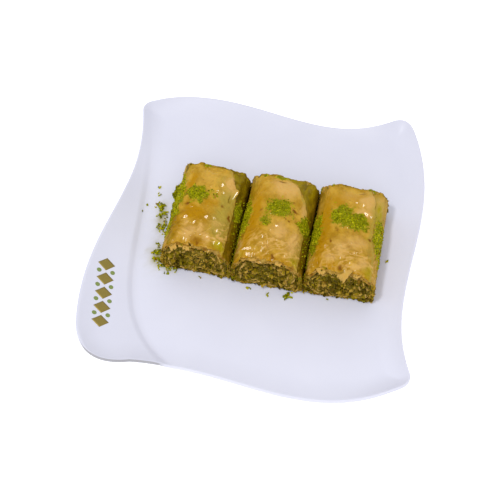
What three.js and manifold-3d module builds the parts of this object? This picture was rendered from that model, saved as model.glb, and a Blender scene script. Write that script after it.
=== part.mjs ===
// A plate of durum baklava: three syrup-glazed rolls of thin pastry round ground pistachio, lying side by
// side on a white moulded plate with a wavy outline and one raised wing.
// Millimetres, +Z up. The origin is the middle of the plate's outline box, on the surface that it stands on.
// +X runs along the row of rolls and +Y away from the eater; the wing is on the -X side.

import * as THREE from "three";
import { mergeVertices } from "three/addons/utils/BufferGeometryUtils.js";
import Module from "manifold-3d";

const wasm = await Module();
wasm.setup();

// The plate's outline, corner by corner, anticlockwise from the front left. Each side is one S-shaped
// Bezier curve: it leaves its corner along `leave` and reaches the next corner from `arrive`.
const CORNERS = [
  { at: [-88.45, -91.45], round: 26.9, leave: [58.2, 34.9], arrive: [-67.3, -37.8], lift: 2.0 },
  { at: [88.55, -83.1], round: 6.3, leave: [-23.0, 58.2], arrive: [31.4, -63.5], lift: 4.5 },
  { at: [83.15, 88.5], round: 9.4, leave: [-54.6, -31.8], arrive: [55.6, 31.9], lift: 3.5 },
  { at: [-73.5, 85.95], round: 5.1, leave: [10.8, -69.7], arrive: [-21.1, 82.8], lift: 4.0 },
];
const CORNER_REACH = 28; // how far a lifted corner spreads along the rim
const RIM_LIFT = 1.8; // rise of the rim half way along a side
const RIM_WIDTH = 13; // the band in which the rim rises from the flat floor
const WALL = 3.0; // moulded wall, from the upper face straight down
const RIM_BULGE = 0.9; // how far the rounded edge stands out at half its thickness

// The foot is a low rounded-square ring under the floor.
const FOOT_HEIGHT = 1.5;
const FOOT_HALF = [54, 52];
const FOOT_WIDTH = 4;
const FOOT_POWER = 4;
const FOOT_SIDES = 36;
const FLOOR = FOOT_HEIGHT + WALL; // height of the flat floor's upper face

// The wing is folded up along a curved crease, with a small step that fades out towards the back.
const CREASE_FRONT = 0.233; // where the crease meets the front side, as a share of its length
const CREASE_BACK = 0.03; // and the back side, from the wing's corner
const CREASE_HANDLES = [[-87.0, -43.0], [-57.4, -2.9]];
const STEP_HEIGHT = 1.6;
const STEP_WIDTH = 1.8;
const STEP_FADE = [20, 80]; // along Y, from full height to none
const WING_SLOPE = Math.tan(THREE.MathUtils.degToRad(20));

// Grid of the plate's faces.
const WING_STATIONS = [0, 0.04, 0.14, 0.35, 0.65, 0.93];
const FLOOR_COLUMNS = 13;
const ROWS = 17;

// A roll's section is a squircle: nearly square below its waist, a dome above.
const WAIST = 8; // height of the widest part above the roll's base
const DOME_POWER = 2.6;
const BACK_DOME_POWER = 3.6; // boxier at the back end, where the crown drops
const BASE_POWER = 7;
const PASTRY_CROWN = 1.9; // all the layers of pastry together, over the crown
const PASTRY_FLANK = 1.3; // and on the flanks and under the base
const CLEAR = 0.35; // gap between pieces that touch
const FRONT_LEAN = 1.6; // the cut face's foot stands this far in front of its crown
const BACK_DROP = 3.0; // the crown falls away over the last stretch before the back end
const BACK_REACH = 10;
const FRONT_DROP = 0.8; // and is pressed down a little where the front was cut
const FRONT_REACH = 4;
const LIP = 0.8; // the last layer of pastry lies on the crown like a tongue: its edge stands proud
const LIP_ANGLE = 46; // of the right flank, this many degrees up from it,
const LIP_BACK_ANGLE = 88; // and bends over the crown towards the back end
const LIP_BEND = [0.2, 0.46]; // shares of the length, from the middle, where it bends
const LIP_SOFTNESS = [1, 7]; // degrees over which it steps down: crisp on the flank, soft in the bend
const LIP_FADE = [120, 165]; // degrees over which the last layer runs into the left flank
const DENT = 0.28; // soft dents in the crown
const DENT_SINK = 0.5; // and how far they lie in on average
const DENT_WAVES = [0.21, 0.47]; // radians a millimetre along the roll
const RAGGED = [{ size: 0.45, waves: 7, shift: 3 }, { size: 0.3, waves: 13, shift: 5 }]; // the cut edge
const WRAP_ROWS = 11;
const WRAP_SIDES = 32;
const CORE_SIDES = 26;
const CORE_RINGS = [0.93, 0.72, 0.48, 0.24];
const CORE_ROUGH = 0.9; // height of the bumps on the cut face of the filling
const CORE_SINK = 0.35; // share of a bump that lies behind the cut
const CORE_MIDDLE = 12; // height of the cut face's middle

// Patches of ground pistachio on a roll: `angle` round the section from the right flank over the crown, and
// `along` its length, with half sizes round and along, the patch's own tilt, and its count of larger crumbs.
const ROLLS = [
  {
    name: "1", at: [-28.9, 6.3], turn: -8.8, width: 39.2, length: 54.8, height: 27.6, phase: 0.4,
    patches: [
      { angle: 106, along: 7.4, round: 5.6, length: 4.3, tilt: 0, count: 9 },
      { angle: 152, along: 3.8, round: 2.6, length: 12.3, tilt: 0, count: 10 },
      { angle: 30, along: 3.5, round: 2.6, length: 6.5, tilt: 0, count: 5 },
    ],
  },
  {
    name: "2", at: [10.85, 0.6], turn: -7.6, width: 38.8, length: 56.5, height: 28.2, phase: 2.1,
    patches: [
      { angle: 89, along: 7.3, round: 8.0, length: 3.9, tilt: 8, count: 11 },
      { angle: 150, along: 3.5, round: 2.5, length: 10.5, tilt: 0, count: 9 },
      { angle: 44, along: 1.0, round: 3.8, length: 4.4, tilt: 0, count: 6 },
    ],
  },
  {
    name: "3", at: [50.7, -3.4], turn: -6.2, width: 38.9, length: 56.6, height: 27.8, phase: 4.3,
    patches: [
      { angle: 88, along: 7.6, round: 10.2, length: 4.0, tilt: 22, count: 12 },
      { angle: 150, along: -0.8, round: 2.5, length: 11.0, tilt: 0, count: 9 },
      { angle: 27, along: 2.5, round: 2.6, length: 9.0, tilt: 0, count: 7 },
    ],
  },
];
const CRUMB = 1.25; // radius of a larger crumb
const CRUMB_STRETCH = [0.8, 1.25]; // its uneven sides
const GIRTH_RADIUS = 18; // mean radius of a roll, for distances round it
const SPIRAL = Math.PI * (3 - Math.sqrt(5)); // golden angle, which spreads a patch evenly

// Loose crumbs fallen on the floor beside the first roll: a drift along its left flank.
const DRIFT = { from: [-57.5, 20.5], to: [-56.5, -12.5], spread: 3.6, count: 10, crumb: 1.3 };

// Broken flakes of pastry that curl out over the cut face of the third roll.
const FLAKES = [
  { roll: 2, angle: 82, size: [4.2, 2.4, 0.8], tilt: 38, turn: 24 },
  { roll: 2, angle: 124, size: [3.2, 1.9, 0.7], tilt: 20, turn: -30 },
  { roll: 0, angle: 98, size: [3.0, 1.7, 0.7], tilt: 26, turn: 12 },
];

const MATERIALS = {
  plate: new THREE.MeshStandardMaterial({ color: 0xe3e3f1, roughness: 0.25, metalness: 0 }),
  pastry: new THREE.MeshStandardMaterial({ color: 0xc49a3c, roughness: 0.3, metalness: 0 }),
  pistachio: new THREE.MeshStandardMaterial({ color: 0x77651f, roughness: 0.7, metalness: 0 }),
};

// Seeded random numbers from 0 to 1, the same on each run.
function seeded(seed) {
  let state = seed;
  return () => {
    state = (state * 1664525 + 1013904223) % 4294967296;
    return state / 4294967296;
  };
}

function smooth(t) {
  const c = THREE.MathUtils.clamp(t, 0, 1);
  return c * c * (3 - 2 * c);
}

// A closed mesh as a solid, and back.
function solidOf(geometry) {
  const bare = geometry.clone();
  bare.deleteAttribute("normal");
  bare.deleteAttribute("uv");
  const merged = mergeVertices(bare, 1e-4);
  return new wasm.Manifold(new wasm.Mesh({
    numProp: 3,
    vertProperties: merged.attributes.position.array,
    triVerts: new Uint32Array(merged.index.array),
  }));
}

function geometryOf(solid) {
  const mesh = solid.getMesh();
  const geometry = new THREE.BufferGeometry();
  geometry.setAttribute("position", new THREE.BufferAttribute(mesh.vertProperties, 3));
  geometry.setIndex(new THREE.BufferAttribute(mesh.triVerts, 1));
  geometry.computeVertexNormals();
  return geometry;
}

function geometryFrom(points, triangles) {
  const geometry = new THREE.BufferGeometry();
  geometry.setAttribute("position", new THREE.Float32BufferAttribute(points.flat(), 3));
  geometry.setIndex(triangles.flat());
  return geometry;
}

// The point a share of the way along a line of points.
function walk(line, share) {
  const steps = line.slice(1).map((p, i) => p.distanceTo(line[i]));
  let left = share * steps.reduce((a, b) => a + b, 0);
  for (let i = 0; i < steps.length; i++) {
    if (left <= steps[i] || i === steps.length - 1) {
      return line[i].clone().lerp(line[i + 1], Math.min(left / steps[i], 1));
    }
    left -= steps[i];
  }
  return line[line.length - 1].clone();
}

// The four sides of the outline, each from the middle of one rounded corner to the middle of the next.
function outlineSides() {
  const curves = CORNERS.map((corner, k) => {
    const next = CORNERS[(k + 1) % CORNERS.length];
    const start = new THREE.Vector2(...corner.at);
    const end = new THREE.Vector2(...next.at);
    return new THREE.CubicBezierCurve(
      start,
      start.clone().add(new THREE.Vector2(...corner.leave)),
      end.clone().add(new THREE.Vector2(...corner.arrive)),
      end,
    );
  });
  const rounds = CORNERS.map((corner, k) => {
    const before = curves[(k + CORNERS.length - 1) % CORNERS.length];
    return new THREE.QuadraticBezierCurve(
      before.getPointAt(1 - corner.round / before.getLength()),
      new THREE.Vector2(...corner.at),
      curves[k].getPointAt(corner.round / curves[k].getLength()),
    );
  });
  const roundSteps = 8;
  const sideSteps = 48;
  return curves.map((curve, k) => {
    const next = (k + 1) % CORNERS.length;
    const length = curve.getLength();
    const first = CORNERS[k].round / length;
    const last = 1 - CORNERS[next].round / length;
    const line = [];
    for (let i = 0; i < roundSteps; i++) line.push(rounds[k].getPoint(0.5 + (0.5 * i) / roundSteps));
    for (let i = 0; i <= sideSteps; i++) {
      line.push(curve.getPointAt(first + ((last - first) * i) / sideSteps));
    }
    for (let i = 1; i <= roundSteps; i++) line.push(rounds[next].getPoint((0.5 * i) / roundSteps));
    return line;
  });
}

const [FRONT, RIGHT, BACK_TO_LEFT, LEFT_TO_FRONT] = outlineSides();
const BACK = BACK_TO_LEFT.slice().reverse(); // left to right
const LEFT = LEFT_TO_FRONT.slice().reverse(); // front to back
const OUTLINE = [FRONT, RIGHT, BACK_TO_LEFT, LEFT_TO_FRONT].flatMap((side) => side.slice(1));

const CREASE = new THREE.CubicBezierCurve(
  walk(FRONT, CREASE_FRONT),
  new THREE.Vector2(...CREASE_HANDLES[0]),
  new THREE.Vector2(...CREASE_HANDLES[1]),
  walk(BACK, CREASE_BACK),
).getSpacedPoints(60);

// Distance from a point to a line of points, positive on the line's left as one walks along it.
function distanceTo(line, point, closed) {
  let best = Infinity;
  const ends = closed ? line.length : line.length - 1;
  for (let i = 0; i < ends; i++) {
    const a = line[i];
    const b = line[(i + 1) % line.length];
    const along = b.clone().sub(a);
    const share = THREE.MathUtils.clamp(point.clone().sub(a).dot(along) / along.lengthSq(), 0, 1);
    const away = point.clone().sub(a.clone().addScaledVector(along, share));
    if (away.length() < Math.abs(best)) best = away.length() * (Math.sign(along.cross(away)) || 1);
  }
  return best;
}

// Height of the plate's upper face: flat floor, a rim that rises most at the corners, and the wing.
function plateHeight(point) {
  const toRim = Math.abs(distanceTo(OUTLINE, point, true));
  let lift = RIM_LIFT;
  for (const corner of CORNERS) {
    const away = point.distanceTo(new THREE.Vector2(...corner.at)) / CORNER_REACH;
    lift += corner.lift * Math.exp(-away * away);
  }
  const rim = lift * Math.max(0, 1 - toRim / RIM_WIDTH) ** 2;
  const onWing = Math.max(0, distanceTo(CREASE, point, false));
  const fade = 1 - smooth((point.y - STEP_FADE[0]) / (STEP_FADE[1] - STEP_FADE[0]));
  const step = STEP_HEIGHT * fade * smooth(onWing / STEP_WIDTH);
  return FLOOR + rim + step + onWing * WING_SLOPE;
}

// A point of a four-sided patch, blended from its front, back, left and right edges.
function patchPoint(edges, u, v) {
  const { front, back, left, right } = edges;
  const flat = walk(front, u).multiplyScalar(1 - v).addScaledVector(walk(back, u), v);
  flat.addScaledVector(walk(left, v), 1 - u).addScaledVector(walk(right, v), u);
  flat.addScaledVector(front[0], -(1 - u) * (1 - v)).addScaledVector(front[front.length - 1], -u * (1 - v));
  flat.addScaledVector(back[0], -(1 - u) * v).addScaledVector(back[back.length - 1], -u * v);
  return flat;
}

function cut(line, from, to, steps) {
  return Array.from({ length: steps + 1 }, (_, i) => walk(line, from + ((to - from) * i) / steps));
}

function platePlan() {
  const wing = {
    front: cut(FRONT, 0, CREASE_FRONT, 24),
    back: cut(BACK, 0, CREASE_BACK, 12),
    left: LEFT,
    right: CREASE,
  };
  const floor = {
    front: cut(FRONT, CREASE_FRONT, 1, 48),
    back: cut(BACK, CREASE_BACK, 1, 60),
    left: CREASE,
    right: RIGHT,
  };
  const rows = [];
  for (let j = 0; j <= ROWS; j++) {
    const v = (1 - Math.cos((Math.PI * j) / ROWS)) / 2; // closer together near the rim
    const row = WING_STATIONS.map((u) => patchPoint(wing, u, v));
    for (let i = 0; i <= FLOOR_COLUMNS; i++) {
      row.push(patchPoint(floor, Math.sin((Math.PI * i) / FLOOR_COLUMNS / 2), v));
    }
    rows.push(row);
  }
  return rows;
}

function plateShell() {
  const plan = platePlan();
  const rows = plan.length;
  const columns = plan[0].length;
  const points = [];
  const triangles = [];
  const index = (i, j, layer) => (layer * rows + j) * columns + i;
  for (const drop of [0, WALL]) {
    for (const row of plan) for (const p of row) points.push([p.x, p.y, plateHeight(p) - drop]);
  }
  for (let j = 0; j + 1 < rows; j++) {
    for (let i = 0; i + 1 < columns; i++) {
      const top = [index(i, j, 0), index(i + 1, j, 0), index(i + 1, j + 1, 0), index(i, j + 1, 0)];
      const low = [index(i, j, 1), index(i, j + 1, 1), index(i + 1, j + 1, 1), index(i + 1, j, 1)];
      for (const [a, b, c, d] of [top, low]) triangles.push([a, b, c], [a, c, d]);
    }
  }
  const loop = [];
  for (let i = 0; i < columns - 1; i++) loop.push([i, 0]);
  for (let j = 0; j < rows - 1; j++) loop.push([columns - 1, j]);
  for (let i = columns - 1; i > 0; i--) loop.push([i, rows - 1]);
  for (let j = rows - 1; j > 0; j--) loop.push([0, j]);
  const firstMiddle = points.length;
  loop.forEach(([i, j], k) => {
    const before = loop[(k + loop.length - 1) % loop.length];
    const after = loop[(k + 1) % loop.length];
    const along = plan[after[1]][after[0]].clone().sub(plan[before[1]][before[0]]).normalize();
    const here = points[index(i, j, 0)];
    points.push([here[0] + along.y * RIM_BULGE, here[1] - along.x * RIM_BULGE, here[2] - WALL / 2]);
  });
  loop.forEach(([i, j], k) => {
    const n = (k + 1) % loop.length;
    const [ni, nj] = loop[n];
    const middle = [firstMiddle + k, firstMiddle + n];
    const upper = [index(i, j, 0), index(ni, nj, 0)];
    const lower = [index(i, j, 1), index(ni, nj, 1)];
    triangles.push([upper[0], middle[0], middle[1]], [upper[0], middle[1], upper[1]]);
    triangles.push([middle[0], lower[0], lower[1]], [middle[0], lower[1], middle[1]]);
  });
  return solidOf(geometryFrom(points, triangles));
}

// A point on a curve between an ellipse and a rectangle.
function squircle(angle, halfWidth, halfHeight, power) {
  const c = Math.cos(angle);
  const s = Math.sin(angle);
  return [
    halfWidth * Math.sign(c) * Math.abs(c) ** (2 / power),
    halfHeight * Math.sign(s) * Math.abs(s) ** (2 / power),
  ];
}

function footRing() {
  const ring = (inset) => Array.from({ length: FOOT_SIDES }, (_, k) => {
    const angle = (2 * Math.PI * (k + 0.5)) / FOOT_SIDES;
    return new THREE.Vector2(...squircle(angle, FOOT_HALF[0] - inset, FOOT_HALF[1] - inset, FOOT_POWER));
  });
  const shape = new THREE.Shape(ring(0));
  shape.holes.push(new THREE.Path(ring(FOOT_WIDTH)));
  return solidOf(new THREE.ExtrudeGeometry(shape, { depth: FOOT_HEIGHT + WALL / 2, bevelEnabled: false }));
}

// One lumpy crumb, sunk to its middle in the surface that it sticks to.
function crumbSolid(radius, place, random) {
  const geometry = new THREE.IcosahedronGeometry(radius, 0);
  const spread = () => THREE.MathUtils.lerp(CRUMB_STRETCH[0], CRUMB_STRETCH[1], random());
  geometry.scale(spread(), spread(), spread());
  geometry.rotateX(random() * Math.PI);
  geometry.rotateZ(random() * Math.PI);
  geometry.translate(...place);
  return solidOf(geometry);
}

function plateGeometry() {
  let solid = plateShell().add(footRing());
  const random = seeded(11);
  for (let i = 0; i < DRIFT.count; i++) {
    const share = (i + 0.5) / DRIFT.count;
    const x = THREE.MathUtils.lerp(DRIFT.from[0], DRIFT.to[0], share) + DRIFT.spread * (random() - 0.5);
    const y = THREE.MathUtils.lerp(DRIFT.from[1], DRIFT.to[1], share);
    const radius = DRIFT.crumb * (0.7 + 0.6 * random());
    solid = solid.add(crumbSolid(radius, [x, y, FLOOR + radius * 0.35], random));
  }
  return geometryOf(solid);
}

// Height and squareness of the crown at a place along the roll.
function crownShape(roll, along) {
  const atBack = smooth((along - roll.length / 2 + BACK_REACH) / BACK_REACH);
  const atFront = smooth((FRONT_REACH - roll.length / 2 - along) / FRONT_REACH);
  return {
    height: roll.height - BACK_DROP * atBack - FRONT_DROP * atFront,
    power: THREE.MathUtils.lerp(DOME_POWER, BACK_DOME_POWER, atBack),
  };
}

// A point of a roll's section, moved in from its bare outer face by one amount at the crown and another at
// the flanks and base.
function sectionPoint(roll, angle, along, crownInset, flankInset) {
  const upper = Math.sin(angle) > 0;
  const crown = crownShape(roll, along);
  const halfHeight = upper ? crown.height - WAIST - crownInset : WAIST - flankInset;
  const power = upper ? crown.power : BASE_POWER;
  const [x, z] = squircle(angle, roll.width / 2 - flankInset, halfHeight, power);
  return [x, z + WAIST];
}

// How far the wrap's face stands in (negative) or out from the bare section: the last layer, whose free
// edge is crisp along the flank and soft where it bends, and dents that leave the flanks straight.
function wrapRelief(roll, angle, along) {
  const degrees = THREE.MathUtils.radToDeg(angle);
  const bend = smooth((along / roll.length - LIP_BEND[0]) / (LIP_BEND[1] - LIP_BEND[0]));
  const edge = THREE.MathUtils.lerp(LIP_ANGLE, LIP_BACK_ANGLE, bend);
  const softness = THREE.MathUtils.lerp(LIP_SOFTNESS[0], LIP_SOFTNESS[1], bend);
  const rise = smooth((degrees - edge + softness) / (2 * softness));
  const fade = 1 - smooth((degrees - LIP_FADE[0]) / (LIP_FADE[1] - LIP_FADE[0]));
  const onCrown = Math.max(0, Math.sin(angle)) ** 2;
  const [slow, quick] = DENT_WAVES;
  const wave = Math.sin(along * slow + roll.phase) + Math.sin(along * quick - angle * 3 + roll.phase * 2);
  return LIP * rise * fade + (DENT * wave - DENT_SINK) * onCrown;
}

// A point of the wrap's outer face.
function wrapPoint(roll, angle, along) {
  const relief = wrapRelief(roll, angle, along);
  return sectionPoint(roll, angle, along, -relief, -relief);
}

// The cut ends: both lean back towards the crown, and the pastry's edge is ragged.
function endPlace(roll, end, height, ragged) {
  const lean = end < 0 ? FRONT_LEAN * (height / roll.height - 0.5) : 0;
  return (end * roll.length) / 2 + lean + ragged;
}

function raggedEdge(roll, end, angle) {
  const wave = ({ size, waves, shift }) => size * Math.sin(angle * waves + roll.phase * shift + end);
  return RAGGED.map(wave).reduce((a, b) => a + b, 0);
}

// Angles round the wrap, with two close together where the last layer's free edge steps down to the flank.
function wrapAngles() {
  const edge = THREE.MathUtils.degToRad(LIP_ANGLE);
  const half = (0.5 * Math.PI) / WRAP_SIDES;
  const even = Array.from({ length: WRAP_SIDES }, (_, k) => (2 * Math.PI * k) / WRAP_SIDES - Math.PI / 2);
  const kept = even.filter((a) => Math.abs(a - edge) > half);
  return [...kept, edge - 0.02, edge + 0.02].sort((a, b) => a - b);
}

// The pastry is a tube: for each angle a loop goes along the outside and back through the bore.
function wrapSolid(roll) {
  const angles = wrapAngles();
  const count = angles.length;
  const points = [];
  const triangles = [];
  const loopLength = WRAP_ROWS + 1 + 2;
  for (const angle of angles) {
    for (let row = 0; row <= WRAP_ROWS; row++) {
      const share = (1 - Math.cos((Math.PI * row) / WRAP_ROWS)) / 2;
      const [x, z] = wrapPoint(roll, angle, (share - 0.5) * roll.length);
      const front = endPlace(roll, -1, z, raggedEdge(roll, -1, angle));
      const back = endPlace(roll, 1, z, raggedEdge(roll, 1, angle));
      points.push([x, THREE.MathUtils.lerp(front, back, share), z]);
    }
    for (const end of [1, -1]) {
      const [x, z] = sectionPoint(roll, angle, (end * roll.length) / 2, PASTRY_CROWN, PASTRY_FLANK);
      points.push([x, endPlace(roll, end, z, raggedEdge(roll, end, angle)), z]);
    }
  }
  for (let k = 0; k < count; k++) {
    for (let m = 0; m < loopLength; m++) {
      const a = k * loopLength + m;
      const b = k * loopLength + ((m + 1) % loopLength);
      const c = ((k + 1) % count) * loopLength + ((m + 1) % loopLength);
      const d = ((k + 1) % count) * loopLength + m;
      triangles.push([a, b, c], [a, c, d]);
    }
  }
  return solidOf(geometryFrom(points, triangles));
}

// Pistachio crumbs stuck to the syrup, spread evenly over each patch.
function patchCrumbs(roll, patch, random) {
  const tilt = THREE.MathUtils.degToRad(patch.tilt);
  return Array.from({ length: patch.count }, (_, i) => {
    const out = Math.sqrt((i + 0.5) / patch.count);
    const round = patch.round * out * Math.cos(i * SPIRAL);
    const length = patch.length * out * Math.sin(i * SPIRAL);
    const across = round * Math.cos(tilt) + length * Math.sin(tilt);
    const along = patch.along + length * Math.cos(tilt) - round * Math.sin(tilt);
    const angle = THREE.MathUtils.degToRad(patch.angle) - across / GIRTH_RADIUS;
    const [x, z] = wrapPoint(roll, angle, along);
    return crumbSolid(CRUMB * (0.75 + 0.5 * random()), [x, along, z], random);
  });
}

function flakeSolid(flake) {
  const roll = ROLLS[flake.roll];
  const [x, z] = sectionPoint(roll, THREE.MathUtils.degToRad(flake.angle), -roll.length / 2, 0.6, 0.6);
  const geometry = new THREE.OctahedronGeometry(1, 1);
  geometry.scale(...flake.size);
  geometry.rotateX(THREE.MathUtils.degToRad(flake.tilt));
  geometry.rotateZ(THREE.MathUtils.degToRad(flake.turn));
  geometry.translate(x, endPlace(roll, -1, z, 0.4), z);
  return solidOf(geometry);
}

function wrapGeometry(roll, number) {
  const random = seeded(101 + number);
  let solid = wrapSolid(roll);
  for (const patch of roll.patches) {
    for (const crumb of patchCrumbs(roll, patch, random)) solid = solid.add(crumb);
  }
  const core = fillingSolid(roll, number, -CLEAR);
  for (const flake of FLAKES.filter((f) => f.roll === number)) {
    solid = solid.add(flakeSolid(flake).subtract(core));
  }
  const parts = solid.decompose().sort((a, b) => b.volume() - a.volume());
  return geometryOf(parts[0]); // a flake's scrap that lost its hold is dropped
}

// The filling runs right through the roll. Its cut faces are rough with ground nuts.
function fillingSolid(roll, number, shrink) {
  const random = seeded(201 + number);
  const gap = CLEAR + shrink;
  const points = [];
  const triangles = [];
  const rings = [];
  const addRing = (end, share, rough) => {
    const first = points.length;
    for (let k = 0; k < CORE_SIDES; k++) {
      const angle = (2 * Math.PI * k) / CORE_SIDES - Math.PI / 2;
      const at = (end * roll.length) / 2;
      const [sx, sz] = sectionPoint(roll, angle, at, PASTRY_CROWN + gap, PASTRY_FLANK + gap);
      const x = sx * share;
      const z = CORE_MIDDLE + (sz - CORE_MIDDLE) * share;
      const bump = rough * (random() - CORE_SINK);
      points.push([x, endPlace(roll, end, z, end * (bump - shrink)), z]);
    }
    rings.push(first);
  };
  const tip = (end) => points.push([0, endPlace(roll, end, CORE_MIDDLE, end * CORE_SINK), CORE_MIDDLE]) - 1;
  for (const share of CORE_RINGS.slice().reverse()) addRing(-1, share, CORE_ROUGH);
  addRing(-1, 1, 0);
  addRing(1, 1, 0);
  for (const share of CORE_RINGS) addRing(1, share, CORE_ROUGH);
  const tips = [tip(-1), tip(1)];
  const last = rings[rings.length - 1];
  for (let k = 0; k < CORE_SIDES; k++) {
    const n = (k + 1) % CORE_SIDES;
    triangles.push([tips[0], rings[0] + k, rings[0] + n], [tips[1], last + n, last + k]);
    for (let r = 0; r + 1 < rings.length; r++) {
      const [near, far] = [rings[r], rings[r + 1]];
      triangles.push([near + k, far + k, far + n], [near + k, far + n, near + n]);
    }
  }
  return solidOf(geometryFrom(points, triangles));
}

function namedMesh(name, geometry, material) {
  const mesh = new THREE.Mesh(geometry, material);
  mesh.name = name;
  return mesh;
}

const baklavaPlate = new THREE.Group();
baklavaPlate.add(namedMesh("plate", plateGeometry(), MATERIALS.plate));
ROLLS.forEach((roll, number) => {
  const piece = new THREE.Group();
  piece.add(namedMesh(`wrap_${roll.name}`, wrapGeometry(roll, number), MATERIALS.pastry));
  piece.add(namedMesh(`filling_${roll.name}`, geometryOf(fillingSolid(roll, number, 0)), MATERIALS.pistachio));
  piece.position.set(roll.at[0], roll.at[1], FLOOR + CLEAR);
  piece.rotation.z = THREE.MathUtils.degToRad(roll.turn);
  baklavaPlate.add(piece);
});

export default baklavaPlate;
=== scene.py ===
# %% [markdown]
# # A plate of durum baklava
# Three rolls of filo pastry, soaked in syrup and filled with ground pistachio, lie side by side on a white
# glazed plate. The plate has a wavy outline and one wing, folded up along a crease.
# A plain solid model gives the true sizes. Each of its solids is replaced here by a finished mesh of the
# same form, and what is too small for solids is added: nuts, torn flakes, glossy folds and crumbs.

# %% Load the solid model
import math

import bpy
import numpy as np
from mathutils import Matrix, Vector


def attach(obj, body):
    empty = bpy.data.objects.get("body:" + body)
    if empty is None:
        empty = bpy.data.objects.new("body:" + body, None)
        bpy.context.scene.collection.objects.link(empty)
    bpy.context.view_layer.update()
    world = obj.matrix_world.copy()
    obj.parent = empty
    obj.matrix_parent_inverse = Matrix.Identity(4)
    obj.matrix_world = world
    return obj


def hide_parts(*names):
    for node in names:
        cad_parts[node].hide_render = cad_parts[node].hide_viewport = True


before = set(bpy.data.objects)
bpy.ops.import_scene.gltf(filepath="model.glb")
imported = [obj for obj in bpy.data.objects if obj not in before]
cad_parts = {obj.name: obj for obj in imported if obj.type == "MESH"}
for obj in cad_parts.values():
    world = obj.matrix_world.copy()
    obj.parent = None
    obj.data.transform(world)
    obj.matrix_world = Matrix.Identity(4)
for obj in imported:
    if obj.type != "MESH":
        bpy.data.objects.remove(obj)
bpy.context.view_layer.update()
MM = 0.001  # all sizes below are in millimetres, and meshes are made in metres
print("solids:", sorted(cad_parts))

# %% [markdown]
# ## Working with whole arrays
# Every large surface here is a grid of points whose heights come from a few named rules. Moving vertices one
# by one would be slow, so numpy works out all of them at once. Two small functions blend numbers smoothly.
# A third gives smooth random heights, which is what uneven, hand-made food needs: slopes are drawn at random
# on a lattice and blended in between, so the result has a known size in millimetres and no repeats.

# %% Smooth steps and smooth random heights
LATTICE = 64


def smooth(t):
    """0 below 0, 1 above 1, and an even S between."""
    c = np.clip(t, 0.0, 1.0)
    return c * c * (3.0 - 2.0 * c)


def lerp(a, b, t):
    return a + (b - a) * t


def swell(x, y, size, seed):
    """Smooth random heights from about -1 to 1, with hills `size` wide."""
    turn = np.random.default_rng(seed).uniform(0.0, 2.0 * math.pi, (LATTICE, LATTICE))
    slope_x, slope_y = np.cos(turn), np.sin(turn)
    u, v = np.broadcast_arrays(x / size, y / size)
    i, j = np.floor(u).astype(int), np.floor(v).astype(int)
    u, v = u - i, v - j

    def corner(di, dj):
        place = (i + di) % LATTICE, (j + dj) % LATTICE
        return slope_x[place] * (u - di) + slope_y[place] * (v - dj)

    near = lerp(corner(0, 0), corner(1, 0), smooth(u))
    far = lerp(corner(0, 1), corner(1, 1), smooth(u))
    return 1.6 * lerp(near, far, smooth(v))


def uneven(x, y, size, layers, seed):
    """Several layers of swell, each half the size and half the height of the one before."""
    return sum(swell(x, y, size / 2**k, seed + k) / 2**k for k in range(layers))


print("random heights at one point:", float(swell(1.3, 2.1, 4.0, 7)))

# %% [markdown]
# ## From grids to closed meshes
# A grid of points becomes faces by joining each point to its neighbours. A plate, a flake or a printed mark
# is a slab: an upper grid, a lower grid and a wall round the border. A roll is a grid closed on itself.
# Colours later need to know where the pastry is dry, browned or soaked, so a mesh can carry named values,
# one for each point, which the materials read as attributes.

# %% Grids, slabs and pieces
def grid_faces(rows, columns, rows_meet=False, columns_meet=False):
    """Quads between neighbouring points of a grid that is stored row by row."""
    i = np.arange(rows if rows_meet else rows - 1)[:, None]
    j = np.arange(columns if columns_meet else columns - 1)[None, :]
    below, beside = (i + 1) % rows, (j + 1) % columns
    corners = [i * columns + j, i * columns + beside, below * columns + beside, below * columns + j]
    return np.stack(np.broadcast_arrays(*corners), axis=-1).reshape(-1, 4)


def border(rows, columns):
    """Indices of a grid's border points, anticlockwise seen from above."""
    grid = np.arange(rows * columns).reshape(rows, columns)
    return np.concatenate([grid[0, :-1], grid[:-1, -1], grid[-1, :0:-1], grid[:0:-1, 0]])


def slab(upper, lower, rim=()):
    """A closed slab between two grids of points, with rings of points on its wall."""
    rows, columns = upper.shape[:2]
    count = rows * columns
    top = grid_faces(rows, columns)
    loops = [border(rows, columns)]
    points = [upper.reshape(-1, 3), lower.reshape(-1, 3), *rim]
    for k, ring in enumerate(rim):
        loops.append(2 * count + k * len(ring) + np.arange(len(ring)))
    loops.append(count + loops[0])
    faces = [top, count + top[:, ::-1]]
    for high, low in zip(loops, loops[1:]):
        faces.append(np.stack([high, low, np.roll(low, -1), np.roll(high, -1)], axis=-1))
    return np.concatenate(points), np.concatenate(faces)


def set_value(mesh, name, values):
    """Stores one number for each point, under a name that a material can read."""
    layer = mesh.attributes.get(name) or mesh.attributes.new(name, "FLOAT", "POINT")
    layer.data.foreach_set("value", np.asarray(values, np.float32).ravel())


def new_piece(name, points, faces, values=None):
    """A mesh object from points in millimetres, shaded smooth."""
    mesh = bpy.data.meshes.new(name)
    mesh.from_pydata((points * MM).tolist(), [], [list(f) for f in faces])
    for key, numbers in (values or {}).items():
        set_value(mesh, key, numbers)
    mesh.shade_smooth()
    piece = bpy.data.objects.new(name, mesh)
    bpy.context.scene.collection.objects.link(piece)
    print(f"{name}: {len(mesh.vertices)} points, {len(mesh.polygons)} faces")
    return piece


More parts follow.
